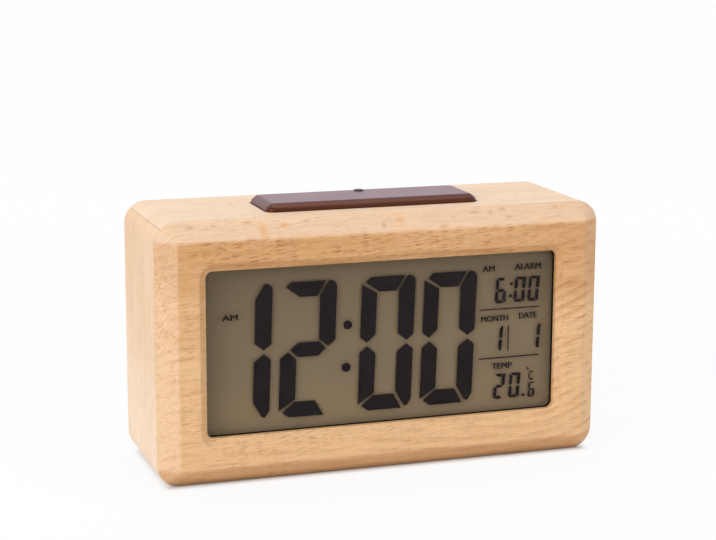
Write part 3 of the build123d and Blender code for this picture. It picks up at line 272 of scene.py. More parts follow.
# the front board's own figure: its grain curls on the right, its flecks are strongest on the left
# and on the upper rail, and its upper chamfer is plain but for a few marks; with it goes painted
# light and shade: paler chamfers and lower part, a darker foot and a dark base line
frontFigureAndLight = {
    "curlStart": 45 * mm,
    "curlEnd": 60 * mm,
    "curlRate": 11.0,
    "curlLayers": 0.18,
    "fleckStart": -45 * mm,
    "fleckEnd": 60 * mm,
    "fleckBase": 0.6,
    "leftGain": 0.5,
    "railStart": 58 * mm,
    "railEnd": 70 * mm,
    "railGain": 0.6,
    # below the upper rail the streaks calm towards the bottom, and the tone grows paler there as
    # painted light
    "lowerStart": 66 * mm,
    "lowerEnd": 12 * mm,
    "lowerPaintedLight": 0.38,
    "lowerCalm": 0.6,
    "toneLift": 0.08,
    "plainStart": 75.5 * mm,
    "plainEnd": 77.0 * mm,
    "plainCalm": 0.75,
    "endStart": 66.0 * mm,
    "endFull": 67.0 * mm,
    "endSlope": math.radians(40),
    "endCell": (9.0 * mm, 14.0 * mm, 0.55 * mm),
    "endPick": 0.6,
    "endShare": 0.2,
    # painted light: the left end chamfer and the upper chamfer are made paler, as where the light
    # falls on them
    "chamferLitTone": paint(230, 204, 178),
    "leftLitShare": 0.3,
    "upperLitShare": 0.6,
    # painted shade: the front board's bottom chamfer darker
    "footStart": 6.5 * mm,
    "footEnd": 4.5 * mm,
    "footShadeTone": paint(196, 138, 82),
    "footShadeShare": 0.5,
    # painted shade: a dark line along the base, where the board meets the floor
    "contactShadeStart": 2.6 * mm,
    "contactShadeTone": paint(66, 52, 40),
    "contactShadeShare": 0.55,
    "greyBrown": paint(186, 138, 100),
    "amber": paint(216, 146, 72),
    "markEdge": (1.1, 0.1),
    "markThreads": (0.30, 0.56),
    "markShare": 0.65,
    # place across and up, half length and half height in millimetres, and tint
    "marks": [(-61.7, 80.4, 2.4, 0.6, "greyBrown"), (-54.6, 80.6, 1.5, 0.4, "greyBrown"),
              (-43.9, 81.1, 2.6, 0.4, "greyBrown"), (-39.4, 78.5, 1.8, 2.8, "amber"),
              (-32.7, 79.7, 2.1, 1.0, "amber"), (-25.5, 80.5, 1.6, 0.5, "greyBrown"),
              (-1.0, 78.4, 1.2, 1.4, "greyBrown"), (4.5, 79.4, 2.4, 1.2, "amber"),
              (18.4, 77.0, 2.2, 0.9, "greyBrown"), (29.5, 80.5, 2.6, 0.6, "greyBrown"),
              (34.8, 80.2, 1.0, 0.8, "greyBrown"), (39.1, 80.9, 1.7, 0.8, "greyBrown"),
              (41.0, 78.7, 1.6, 0.6, "greyBrown"), (57.3, 80.8, 1.2, 0.5, "greyBrown")],
}

# a glue line is the direction and offset of its joint plane, and its strength
halfWidth = cadHigh.x
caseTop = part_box("top_plank")[1].z
frontSeam = ((0, 1, 0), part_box("front_frame")[1].y, beechWood["seamShare"])
mitreTopLeft = ((-1, 0, -1), halfWidth - caseTop, beechWood["mitreShare"])
mitreTopRight = ((1, 0, -1), halfWidth - caseTop, beechWood["mitreShare"])
mitreLowLeft = ((-1, 0, 1), halfWidth, beechWood["mitreShare"])
mitreLowRight = ((1, 0, 1), halfWidth, beechWood["mitreShare"])


def dashField(wood, coords, cell, share):
    # lens-shaped dashes, one to a cell, of which only a share is strong
    fitted = stretched(wood, coords, perCell(cell))
    cells = addNode(wood, "TexVoronoi", {"feature": "F1"}, Vector=fitted, Scale=1.0).outputs
    dash = ramp(wood, cells["Distance"], *beechWood["dashEdge"])
    pick = addNode(wood, "SeparateColor", Color=cells["Color"]).outputs[0]
    low, high = beechWood["pickRange"]
    return times(wood, dash, ramp(wood, pick, low - share, high - share))


def beech(name, tones, fleckShare, glue, turn=(0, 0, 0), shift=(0, 0, 0), figureAndLight=None,
          paintedFootLight=0.0):
    wood = newMaterial(name, tones["light"], beechWood["roughness"],
                       Specular_IOR_Level=beechWood["gloss"], Coat_Weight=beechWood["varnish"],
                       Coat_Roughness=beechWood["varnishRoughness"])
    plain = objectCoords(wood)
    alongX, upward = axisOf(wood, plain, "X"), axisOf(wood, plain, "Z")
    coords = stretched(wood, plain, (1, 1, 1), turn, shift)
    detail = beechWood["fineDetail"]

    # slow drift of the grain, which bends the layers
    slow = stretched(wood, coords, beechWood["driftStretch"])
    drift = addNode(wood, "TexNoise", Vector=slow, Scale=beechWood["driftScale"]).outputs["Color"]
    sway = vectors(wood, "SUBTRACT", drift, (0.5, 0.5, 0.5))
    push = addNode(wood, "VectorMath", {"operation": "SCALE"}, n0=sway, Scale=beechWood["warp"])
    warped = vectors(wood, "ADD", coords, push.outputs[0])
    sloped = stretched(wood, warped, (1, 1, 1), (0, beechWood["fleckSlope"], 0))

    # growth layers, darkest at the end of each step, which climb where the grain curls
    depth = alongWay(wood, warped, Vector(beechWood["layerTilt"]).normalized())
    layerShare = beechWood["layerShare"] * fleckShare
    if figureAndLight:
        past = maths(wood, "MAXIMUM", maths(wood, "SUBTRACT", alongX, figureAndLight["curlStart"]), 0.0)
        climb = times(wood, times(wood, past, past), figureAndLight["curlRate"])
        depth = maths(wood, "SUBTRACT", depth, climb)
        curled = ramp(wood, alongX, figureAndLight["curlStart"], figureAndLight["curlEnd"])
        layerShare = scaled(wood, curled, figureAndLight["curlLayers"], layerShare)
    step = maths(wood, "FRACT", maths(wood, "DIVIDE", depth, beechWood["layerStep"]))
    late = times(wood, ramp(wood, step, *beechWood["layerDarkens"]),
                 ramp(wood, step, *beechWood["layerEnds"]))
    breaks = noise(wood, stretched(wood, warped, beechWood["breakScale"]), detail=detail)
    layers = times(wood, late, ramp(wood, breaks, *beechWood["breakRamp"]))

    # ray flecks in two sizes, which come and go
    large = dashField(wood, sloped, beechWood["fleckCell"], beechWood["fleckPick"])
    fine = dashField(wood, sloped, beechWood["fineCell"], beechWood["finePick"])
    flecks = maths(wood, "MAXIMUM", large, times(wood, fine, beechWood["fineShare"]))
    spread = stretched(wood, coords, beechWood["patchStretch"])
    patches = noise(wood, spread, beechWood["patchScale"])
    flecks = times(wood, flecks, ramp(wood, patches, *beechWood["patchRamp"]))
    if figureAndLight:
        toLeft = ramp(wood, alongX, figureAndLight["fleckEnd"], figureAndLight["fleckStart"])
        onRail = ramp(wood, upward, figureAndLight["railStart"], figureAndLight["railEnd"])
        base = figureAndLight["fleckBase"]
        flecks = times(wood, flecks, scaled(wood, toLeft, figureAndLight["leftGain"], base))
        flecks = times(wood, flecks, scaled(wood, onRail, figureAndLight["railGain"], base))
        plainTop = ramp(wood, upward, figureAndLight["plainStart"], figureAndLight["plainEnd"])
        calm = scaled(wood, plainTop, -figureAndLight["plainCalm"], 1.0)
        flecks = times(wood, flecks, calm)
        layers = times(wood, layers, calm)
        # the chamfers at the two ends cut across the fibres, so their flecks are short and slanted
        slanted = stretched(wood, plain, (1, 1, 1), (0, figureAndLight["endSlope"], 0))
        endFlecks = dashField(wood, slanted, figureAndLight["endCell"], figureAndLight["endPick"])
        fromMiddle = maths(wood, "ABSOLUTE", alongX)
        ends = ramp(wood, fromMiddle, figureAndLight["endStart"], figureAndLight["endFull"])
        flecks = between(wood, ends, flecks, times(wood, endFlecks, figureAndLight["endShare"]))

    # streaks, fibre and broad tone
    fibre = noise(wood, stretched(wood, warped, perCell(beechWood["fibreCell"])), detail=detail)
    bands = noise(wood, stretched(wood, sloped, perCell(beechWood["streakCell"])))
    streaks = ramp(wood, bands, *beechWood["streakRamp"])
    tone = noise(wood, stretched(wood, warped, beechWood["toneScale"]))
    if figureAndLight:
        # painted light: the front board's tone grows paler towards the bottom
        lower = ramp(wood, upward, figureAndLight["lowerStart"], figureAndLight["lowerEnd"])
        lifted = maths(wood, "ADD", tone, figureAndLight["toneLift"])
        tone = scaled(wood, lower, -figureAndLight["lowerPaintedLight"], lifted)
        streaks = times(wood, streaks, scaled(wood, lower, -figureAndLight["lowerCalm"], 1.0))
        streaks = times(wood, streaks, calm)

    # colour: the two wood tones, then painted light and shade (paler chamfers and lower parts, a
    # darker foot), then the grain
    deepShare = ramp(wood, tone, *beechWood["toneRamp"])
    colour = mixColours(wood, deepShare, tones["light"], tones["deep"])
    if figureAndLight:
        # painted light: the left end chamfer and the upper chamfer paler
        leftEnd = ramp(wood, alongX, -figureAndLight["endStart"], -figureAndLight["endFull"])
        paintedLight = maths(wood, "MAXIMUM", times(wood, leftEnd, figureAndLight["leftLitShare"]),
                     times(wood, plainTop, figureAndLight["upperLitShare"]))
        colour = mixColours(wood, paintedLight, colour, figureAndLight["chamferLitTone"])
        # painted shade: the bottom chamfer darker
        footShade = ramp(wood, upward, figureAndLight["footStart"], figureAndLight["footEnd"])
        colour = tinted(wood, colour, figureAndLight["footShadeTone"], footShade, figureAndLight["footShadeShare"])
    # painted light: the side planks paler towards the bottom
    if paintedFootLight:
        start, full = [share * caseTop for share in beechWood["footLightRange"]]
        low = ramp(wood, upward, start, full)
        colour = tinted(wood, colour, beechWood["footLightTone"], low, paintedFootLight)
    colour = tinted(wood, colour, tones["streak"], streaks, beechWood["streakShare"])
    colour = tinted(wood, colour, tones["fleck"], layers, layerShare)
    colour = tinted(wood, colour, tones["fleck"], flecks, fleckShare)
    colour = shaded(wood, colour, fibre, beechWood["fibreSpread"])
    if figureAndLight:
        # painted shade: a dark line along the base, where the board meets the floor
        contactShade = ramp(wood, upward, figureAndLight["contactShadeStart"], 0.0)
        colour = tinted(wood, colour, figureAndLight["contactShadeTone"], contactShade, figureAndLight["contactShadeShare"])
        threads = ramp(wood, fibre, *figureAndLight["markThreads"])
        for across, high, length, height, tint in figureAndLight["marks"]:
            away = vectors(wood, "SUBTRACT", plain, (across * mm, 0, high * mm))
            shrink = (1 / (length * mm), 0, 1 / (height * mm))
            reach = lengthOf(wood, vectors(wood, "MULTIPLY", away, shrink))
            spot = times(wood, ramp(wood, reach, *figureAndLight["markEdge"]), threads)
            colour = tinted(wood, colour, figureAndLight[tint], spot, figureAndLight["markShare"])

    # glue lines lie where a board's joint planes come to the surface
    broken = ramp(wood, breaks, *beechWood["glueBreaks"])
    for direction, offset, strength in glue:
        away = maths(wood, "SUBTRACT", alongWay(wood, plain, direction), offset)
        line = ramp(wood, maths(wood, "ABSOLUTE", away), *beechWood["glueEdge"])
        line = times(wood, line, broken)
        colour = tinted(wood, colour, beechWood["glueColour"], line, strength)

    relief = scaled(wood, flecks, -beechWood["relief"], times(wood, fibre, beechWood["relief"]))
    intoShader(wood, Base_Color=colour,
               Roughness=around(wood, fibre, beechWood["roughness"], beechWood["roughSpread"]),
               Normal=bump(wood, relief, beechWood["bumpStrength"], beechWood["bumpDepth"]))
    return wood


upright = (0, quarter, 0)  # the side planks' grain runs up
wear(beech("beechFront", frontTones, fleckShare=0.8, glue=[frontSeam], figureAndLight=frontFigureAndLight),
     "front_frame")
wear(beech("beechTop", topTonesAndSheen, fleckShare=0.3, glue=[frontSeam, mitreTopLeft, mitreTopRight],
           shift=(0.31, 0.02, 0.13)), "top_plank")
wear(beech("beechBottom", plankTones, fleckShare=0.3,
           glue=[frontSeam, mitreLowLeft, mitreLowRight], shift=(0.62, 0.31, 0.07)),
     "bottom_plank")
wear(beech("beechLeft", plankTones, fleckShare=0.2, glue=[frontSeam, mitreTopLeft, mitreLowLeft],
           turn=upright, shift=(0.2, 0.5, 0.9), paintedFootLight=0.6), "left_plank")
wear(beech("beechRight", plankTones, fleckShare=0.2,
           glue=[frontSeam, mitreTopRight, mitreLowRight], turn=upright, shift=(0.7, 0.1, 0.4),
           paintedFootLight=0.6), "right_plank")
print("wood done")


# Plastics, with a fine moulded grain and a slight cloudiness

mouldedSkin = {
    "speckleScale": 3500.0,
    "speckleDepth": 0.03 * mm,
    "mistScale": 90.0,
    "mistDetail": 3.0,
    "roughSpread": 0.10,
}


def moulded(name, colour, roughness, grain=0.25, cloud=0.12, **sockets):
    plastic = newMaterial(name, colour, roughness, **sockets)
    coords = objectCoords(plastic)
    speckle = noise(plastic, coords, mouldedSkin["speckleScale"])
    mist = noise(plastic, coords, mouldedSkin["mistScale"], mouldedSkin["mistDetail"])
    intoShader(plastic, Base_Color=shaded(plastic, colour, mist, cloud),
               Roughness=around(plastic, mist, roughness, mouldedSkin["roughSpread"]),
               Normal=bump(plastic, speckle, grain, mouldedSkin["speckleDepth"]))
    return plastic


# Metals, with fine scratches along one direction

brushedMetal = {
    "detail": 3.0,
    "shade": 0.14,
    "roughSpread": 0.16,
    "bumpStrength": 0.1,
    "bumpDepth": 0.01 * mm,
}


def metal(name, colour, roughness, grainScale=(400, 4000, 4000)):
    alloy = newMaterial(name, colour, roughness, Metallic=1.0)
    grain = stretched(alloy, objectCoords(alloy), grainScale)
    scratches = noise(alloy, grain, detail=brushedMetal["detail"])
    intoShader(alloy, Base_Color=shaded(alloy, colour, scratches, brushedMetal["shade"]),
               Roughness=around(alloy, scratches, roughness, brushedMetal["roughSpread"]),
               Normal=bump(alloy, scratches, brushedMetal["bumpStrength"],
                           brushedMetal["bumpDepth"]))
    return alloy


keyBrown = moulded("keyBrown", paint(96, 70, 60), 0.42)
springWire = metal("springWire", paint(190, 191, 193), 0.28)
wear(moulded("brownBar", paint(70, 37, 22), 0.3, Specular_IOR_Level=0.42,
             Specular_Tint=paint(225, 150, 120), Sheen_Weight=0.17,
             Sheen_Tint=paint(255, 190, 250)), "snooze_bar")
wear(moulded("smokedLens", paint(36, 26, 30), 0.3, grain=0.02, Specular_IOR_Level=0.25),
     "sensor_lens")
wear(moulded("coverBrown", paint(74, 52, 44), 0.48, grain=0.35), "back_cover", "battery_door")
wear(keyBrown, "alarm_slider", "light_slider")
wear(moulded("blackSwitch", paint(34, 34, 35), 0.45), "key_switches", "slide_switches",
     "snooze_switch")
wear(moulded("paleNylon", paint(214, 211, 203), 0.5), "snooze_plunger", "mode_plunger",
     "set_plunger", "up_plunger", "down_plunger")
wear(moulded("trayWhite", paint(218, 218, 213), 0.5), "display_tray", "bar_holder")
wear(moulded("castBlack", paint(24, 24, 25), 0.28, grain=0.1), "controller_blob")
wear(moulded("rimmedSleeve", paint(38, 46, 78), 0.3, grain=0.1), "capacitors")
wear(moulded("firedChips", paint(92, 78, 66), 0.6, grain=0.3, cloud=0.5), "chip_parts")
wear(moulded("beadResin", paint(46, 44, 42), 0.35), "thermistor")
wear(moulded("sensorResin", paint(70, 66, 74), 0.2, grain=0.05), "light_sensor")
wear(moulded("lampResin", paint(232, 226, 204), 0.25, grain=0.05), "backlight_leds")
wear(moulded("reflectorWhite", paint(238, 238, 234), 0.55, grain=0.05), "reflector_sheet")
wear(moulded("guideAcrylic", paint(226, 230, 226), 0.12, grain=0.02), "light_guide")
wear(moulded("redLead", paint(176, 32, 28), 0.35, grain=0.1), "battery_lead_red")
wear(moulded("blackLead", paint(28, 28, 29), 0.35, grain=0.1), "battery_lead_black",
     "buzzer_leads")
wear(metal("zincSteel", paint(176, 178, 178), 0.34), "cover_screws", "holder_screws",
     "key_board_screws", "main_board_screws", "tray_screws", "crystal")
wear(springWire, "battery_springs", "snooze_springs")
wear(metal("nickelStrip", paint(205, 202, 194), 0.26, grainScale=(2500, 2500, 300)),
     "battery_contacts")
wear(metal("buzzerBrass", paint(212, 178, 104), 0.3), "buzzer")


# Circuit boards: green lacquer over copper tracks

circuitBoard = {
    "lacquer": paint(30, 88, 48),
    "track": paint(70, 132, 66),
    "trackWidth": 0.25 * mm,
    "trackSoftness": 0.2,
    "trackLength": 7.0 * mm,
    "trackStep": 1.8 * mm,
    "mottleScale": 300.0,
    "mottleShade": 0.14,
    "roughness": 0.3,
    "roughSpread": 0.1,
    "bumpStrength": 0.3,
    "bumpDepth": 0.04 * mm,
}


def lacqueredBoard(name, turn):
    board = newMaterial(name, circuitBoard["lacquer"], circuitBoard["roughness"])
    coords = stretched(board, objectCoords(board), (1, 1, 1), turn)
    track = addNode(board, "TexBrick", Vector=coords, Scale=1.0,
                    Mortar_Size=circuitBoard["trackWidth"],
                    Mortar_Smooth=circuitBoard["trackSoftness"],
                    Brick_Width=circuitBoard["trackLength"],
                    Row_Height=circuitBoard["trackStep"]).outputs["Fac"]
    mottle = noise(board, coords, circuitBoard["mottleScale"])
    colour = mixColours(board, track, circuitBoard["lacquer"], circuitBoard["track"])
    intoShader(board, Base_Color=shaded(board, colour, mottle, circuitBoard["mottleShade"]),
               Roughness=around(board, mottle, circuitBoard["roughness"],
                                circuitBoard["roughSpread"]),
               Normal=bump(board, track, circuitBoard["bumpStrength"], circuitBoard["bumpDepth"]))
    return board


wear(lacqueredBoard("uprightBoard", (-quarter, 0, 0)), "main_board", "key_board")
wear(lacqueredBoard("flatBoard", (0, 0, 0)), "snooze_board")


# Striped goods: contact rubber, ribbons of joined wires

stripes = {
    "edge": (0.12, 0.24),  # shares of a step
    "fuzzScale": 900.0,
    "fuzzShade": 0.12,
    "bumpStrength": 0.4,
    "bumpDepth": 0.15 * mm,
}


def striped(name, first, second, step, roughness):
    goods = newMaterial(name, first, roughness)
    coords = objectCoords(goods)
    place = maths(goods, "FRACT", maths(goods, "DIVIDE", axisOf(goods, coords, "X"), step))
    wave = maths(goods, "PINGPONG", place, 0.5)
    fuzz = noise(goods, coords, stripes["fuzzScale"])
    colour = mixColours(goods, ramp(goods, wave, *stripes["edge"]), second, first)
    intoShader(goods, Base_Color=shaded(goods, colour, fuzz, stripes["fuzzShade"]),
               Normal=bump(goods, wave, stripes["bumpStrength"], stripes["bumpDepth"]))
    return goods


wear(striped("zebraRubber", paint(40, 40, 41), paint(98, 98, 96), 0.5 * mm, 0.7), "zebra_strip")
wear(striped("ribbonWires", paint(168, 168, 166), paint(120, 120, 120), 1.0 * mm, 0.5),
     "key_ribbon", "snooze_ribbon")


# Cells: a printed sleeve with a coloured end, bare metal at the rims and the nub

cellPrint = {
    "sleeve": paint(46, 50, 54),
    "end": paint(196, 122, 44),
    "bare": paint(206, 206, 208),
    "endLength": 11.0 * mm,
    "endEdge": 0.05 * mm,
    "middle": 22.75 * mm,
    "halfSleeve": 21.0 * mm,
    "sleeveEdge": 0.1 * mm,
    "scuffScale": 260.0,
    "scuffDetail": 4.0,
    "scuffShade": 0.12,
    "roughness": 0.3,
    "roughSpread": 0.16,
}


def printedCells():
    low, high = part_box("battery_cells")
    cell = newMaterial("printedCells", cellPrint["sleeve"], cellPrint["roughness"])
    coords = objectCoords(cell)
    along = axisOf(cell, coords, "X")
    # the two cells lie head to tail, so each is measured from its own nub
    upper = maths(cell, "GREATER_THAN", axisOf(cell, coords, "Z"), (low.z + high.z) / 2)
    fromLow = maths(cell, "SUBTRACT", along, low.x)
    fromHigh = maths(cell, "SUBTRACT", high.x, along)
    fromNub = between(cell, upper, fromLow, fromHigh)
    headEnd = ramp(cell, fromNub, cellPrint["endLength"] + cellPrint["endEdge"],
                   cellPrint["endLength"] - cellPrint["endEdge"])
    colour = mixColours(cell, headEnd, cellPrint["sleeve"], cellPrint["end"])
    away = maths(cell, "ABSOLUTE", maths(cell, "SUBTRACT", fromNub, cellPrint["middle"]))
    bare = ramp(cell, away, cellPrint["halfSleeve"],
                cellPrint["halfSleeve"] + cellPrint["sleeveEdge"])
    colour = mixColours(cell, bare, colour, cellPrint["bare"])
    scuff = noise(cell, coords, cellPrint["scuffScale"], cellPrint["scuffDetail"])
    intoShader(cell, Base_Color=shaded(cell, colour, scuff, cellPrint["scuffShade"]),
               Metallic=bare,
               Roughness=around(cell, scuff, cellPrint["roughness"], cellPrint["roughSpread"]))
    return cell


wear(printedCells(), "battery_cells")
print("plastics and metals done")


# Mesh helpers

def meshPiece(name, shape, material, body=None, smooth=30.0):
    # edges sharper than the smooth angle, in degrees, stay crisp; 0 leaves all faces flat
    mesh = bpy.data.meshes.new(name)
    shape.to_mesh(mesh)
    shape.free()
    if smooth:
        mesh.shade_smooth()
        mesh.set_sharp_from_angle(angle=math.radians(smooth))
    mesh.materials.append(material)
    piece = bpy.data.objects.new(name, mesh)
    bpy.context.scene.collection.objects.link(piece)
    if body:
        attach(piece, body)
    return piece


def boxShape(low, high):
    shape = bmesh.new()
    bmesh.ops.create_cube(shape, size=1.0)
    bmesh.ops.scale(shape, vec=high - low, verts=shape.verts)
    bmesh.ops.translate(shape, vec=(low + high) / 2, verts=shape.verts)
    return shape


def mergedCopy(node, limit=0.002 * mm):
    # a CAD node's mesh is loose triangles, so a copy of it is merged first
    shape = bmesh.new()
    shape.from_mesh(nodes[node].data)
    bmesh.ops.remove_doubles(shape, verts=shape.verts, dist=limit)
    return shape


def softEdges(shape, edges, width, segments):
    bmesh.ops.bevel(shape, geom=edges, offset=width, affect="EDGES", segments=segments,
                    profile=0.5, material=-1)


# Display: olive film at the back, dark figures and words, one clear pane, and a black border
# behind the lens

display = {
    # the film's own tone, with painted light paler at the bottom and the right, and painted shade
    # darker at the top
    "filmLight": paint(154, 135, 107),
    "filmLowLight": paint(170, 147, 115),
    "filmTopShade": paint(142, 124, 99),
    "filmGrain": 2500.0,
    "filmShade": 0.08,
    "filmRoughness": 0.55,
    "filmRoughSpread": 0.1,
    "rightStart": -0.6,  # share of the half width
    "rightLightShare": 0.4,
    "ink": paint(32, 25, 26),
    "inkCool": paint(37, 30, 34),
    "inkGrain": 900.0,
    "inkRamp": (0.35, 0.65),
    "inkRoughness": 0.5,
    "lens": paint(52, 50, 46),
    "lensRoughness": 0.12,
    "pane": paint(70, 64, 54),
    "paneRoughness": 0.3,
    "paneFrontGap": 0.08 * mm,
    "paneRearGap": 0.02 * mm,
    "paneEdge": 0.1 * mm,
    "paneSegments": 2,
    "clearAlpha": 0.05,
    "clearGrain": 0.02,
    "window": (115.0 * mm, 52.0 * mm),
    "windowMiddle": 41.0 * mm,
    "border": paint(24, 16, 12),
    "borderRoughness": 0.6,
    "borderInset": 0.2 * mm,
    "borderWidth": 0.9 * mm,
    "borderCorner": 1.8 * mm,
    "cornerSegments": 6,
    "borderThickness": 0.05 * mm,
    "borderGap": 0.01 * mm,
    "borderGrain": 0.1,
    "borderGloss": 0.1,
}


def oliveFilm():
    low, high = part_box("lcd_rear_polarizer")
    film = newMaterial("oliveFilm", display["filmLight"], display["filmRoughness"],
                       Specular_IOR_Level=0.0)
    coords = objectCoords(film)
    upward, middle = axisOf(film, coords, "Z"), (low.z + high.z) / 2
    # painted shade darker towards the top, under the window's upper edge, and painted light paler
    # towards the bottom and the right
    toTop = ramp(film, upward, middle, high.z)
    toFoot = ramp(film, upward, middle, low.z)
    toRight = ramp(film, axisOf(film, coords, "X"), display["rightStart"] * high.x, high.x)
    paintedLight = maths(film, "MAXIMUM", toFoot, times(film, toRight, display["rightLightShare"]))
    colour = mixColours(film, paintedLight, display["filmLight"], display["filmLowLight"])
    colour = mixColours(film, toTop, colour, display["filmTopShade"])
    grain = noise(film, coords, display["filmGrain"])
    intoShader(film, Base_Color=shaded(film, colour, grain, display["filmShade"]),
               Roughness=around(film, grain, display["filmRoughness"],
                                display["filmRoughSpread"]))
    return film


def switchedInk():
    ink = newMaterial("switchedInk", display["ink"], display["inkRoughness"],
                      Specular_IOR_Level=0.0)
    grain = noise(ink, objectCoords(ink), display["inkGrain"])
    cool = ramp(ink, grain, *display["inkRamp"])
    intoShader(ink, Base_Color=mixColours(ink, cool, display["ink"], display["inkCool"]))
    return ink


def clearSheet(name, colour, roughness):
    return moulded(name, colour, roughness, grain=display["clearGrain"],
                   Alpha=display["clearAlpha"])


def displayPane():
    # one sheet in place of the front polariser and the two glasses
    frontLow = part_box("lcd_front_polarizer")[0]
    rearLow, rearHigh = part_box("lcd_rear_glass")
    low = Vector((rearLow.x, frontLow.y + display["paneFrontGap"], rearLow.z))
    high = Vector((rearHigh.x, rearHigh.y - display["paneRearGap"], rearHigh.z))
    shape = boxShape(low, high)
    softEdges(shape, shape.edges[:], display["paneEdge"], display["paneSegments"])
    glass = clearSheet("filmGlass", display["pane"], display["paneRoughness"])
    pane = meshPiece("displayPane", shape, glass, "case")
    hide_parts("lcd_front_polarizer", "lcd_front_glass", "lcd_rear_glass")


def displayBorder():
    # a thin black frame behind the lens, which shows as a dark line a little inside the wooden
    # window
    width = display["borderWidth"]
    wide, tall = [size - 2 * display["borderInset"] + 2 * width for size in display["window"]]
    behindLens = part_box("window_lens")[1].y + display["borderGap"]
    shape = bmesh.new()
    bmesh.ops.create_grid(shape, x_segments=1, y_segments=1, size=0.5)
    bmesh.ops.scale(shape, vec=(wide, tall, 1), verts=shape.verts)
    bmesh.ops.rotate(shape, matrix=Matrix.Rotation(quarter, 3, "X"), verts=shape.verts)
    bmesh.ops.translate(shape, vec=(0, behindLens, display["windowMiddle"]), verts=shape.verts)
    sheet = shape.faces[:]
    bmesh.ops.inset_region(shape, faces=sheet, thickness=width, use_boundary=True,
                           use_even_offset=True)
    bmesh.ops.bevel(shape, geom=sheet[0].verts[:], offset=display["borderCorner"],
                    affect="VERTICES", segments=display["cornerSegments"], profile=0.5,
                    material=-1)
    hole = max(shape.faces, key=lambda face: face.calc_area())
    bmesh.ops.delete(shape, geom=[hole], context="FACES")
    bmesh.ops.solidify(shape, geom=shape.faces[:], thickness=-display["borderThickness"])
    bmesh.ops.recalc_face_normals(shape, faces=shape.faces)
    black = moulded("borderBlack", display["border"], display["borderRoughness"],
                    display["borderGrain"], Specular_IOR_Level=display["borderGloss"])
    meshPiece("displayBorder", shape, black, "case")


inkDark = switchedInk()
wear(oliveFilm(), "lcd_rear_polarizer")
wear(inkDark, "lcd_segments")
wear(clearSheet("clearLens", display["lens"], display["lensRoughness"]), "window_lens")
displayPane()
displayBorder()


# Lettering, made a mesh and fitted into a box of its own on the surface that carries it

lettering = {
    "curveSteps": 3,
    "secondShare": 0.7,
    "mergeLimit": 0.001 * mm,
    "flatLimit": 0.0005 * mm,
    "inkWeight": 0.16 * mm,
    "printWeight": 0.08 * mm,
    "printThickness": 0.03 * mm,
    "printSink": 0.005 * mm,
}


def rawLetters(text):
    # the font's own letters, one unit thick
    curve = bpy.data.curves.new("wordCurve", "FONT")
    curve.body = text
    curve.extrude = 0.5
    curve.resolution_u = lettering["curveSteps"]
    carrier = bpy.data.objects.new("wordCarrier", curve)
    mesh = bpy.data.meshes.new_from_object(carrier)
    bpy.data.objects.remove(carrier)
    return mesh


def wordsShape(words, depthPlace, thickness, back, weight):
    # each row is the text, then left, right, low and high in millimetres, left and right as read;
    # each word is laid down twice, a little apart and the second thinner, for bolder strokes
    total = bmesh.new()
    side = -1 if back else 1
    for text, left, right, low, high in words:
        mesh = rawLetters(text)
        across = [vertex.co.x for vertex in mesh.vertices]
        upward = [vertex.co.y for vertex in mesh.vertices]
        wideScale = (abs(right - left) * mm - weight) / (max(across) - min(across))
        tallScale = (high - low) * mm / (max(upward) - min(upward))
        stand = Matrix(((side, 0, 0, left * mm), (0, 0, -side, depthPlace),
                        (0, 1, 0, low * mm), (0, 0, 0, 1)))
        toCorner = Matrix.Translation((-min(across), -min(upward), 0.5))
        for shift, share in ((0, 1.0), (weight, lettering["secondShare"])):
            fit = Matrix.Diagonal((wideScale, tallScale, thickness * share, 1))
            aside = Matrix.Translation((side * shift, 0, 0))
            copy = mesh.copy()
            copy.transform(aside @ stand @ fit @ toCorner)
            total.from_mesh(copy)
            bpy.data.meshes.remove(copy)
        bpy.data.meshes.remove(mesh)
    bmesh.ops.remove_doubles(total, verts=total.verts, dist=lettering["mergeLimit"])
    bmesh.ops.dissolve_degenerate(total, edges=total.edges, dist=lettering["flatLimit"])
    return total


displayWords = [
    ("AM", -51.6, -46.6, 50.6, 52.4),
    ("AM", 33.7, 37.8, 60.6, 62.5),
    ("ALARM", 44.7, 53.8, 60.55, 62.5),
    ("MONTH", 33.4, 42.8, 44.25, 46.15),
    ("DATE", 46.5, 52.8, 44.55, 46.5),
    ("TEMP", 37.3, 44.4, 28.5, 30.4),
    ("o", 49.5, 50.3, 27.4, 28.3),
    ("C", 50.3, 51.9, 23.9, 27.0),
]
segmentLow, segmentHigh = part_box("lcd_segments")
inkShape = wordsShape(displayWords, segmentHigh.y, segmentHigh.y - segmentLow.y, back=False,
                      weight=lettering["inkWeight"])
meshPiece("displayWords", inkShape, inkDark, "case", smooth=0)
print("display done")


# Keys: the same shapes with their outer edges softened

keyCaps = {
    "edge": 0.35 * mm,
    "segments": 4,
    "reach": 1.0 * mm,
    "flatAngle": math.radians(0.5),
    "crispAngle": math.radians(25),
    "smooth": 35.0,
}


def softKey(key):
    node = key + "_button"
    shape = mergedCopy(node)
    bmesh.ops.dissolve_limit(shape, angle_limit=keyCaps["flatAngle"], verts=shape.verts,
                             edges=shape.edges)
    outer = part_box(node)[1].y - keyCaps["reach"]
    crisp = [edge for edge in shape.edges
             if edge.is_manifold and edge.calc_face_angle() > keyCaps["crispAngle"]
             and min(vertex.co.y for vertex in edge.verts) > outer]
    softEdges(shape, crisp, keyCaps["edge"], keyCaps["segments"])
    skin = meshPiece(key + "ButtonSkin", shape, keyBrown, key + "_key",
                     keyCaps["smooth"])
    skin.modifiers.new("evenShine", "WEIGHTED_NORMAL").keep_sharp = True
    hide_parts(node)


for key in ("mode", "set", "up", "down"):
    softKey(key)


# Springs under the bar, a smooth-shaded copy with a mesh of its own

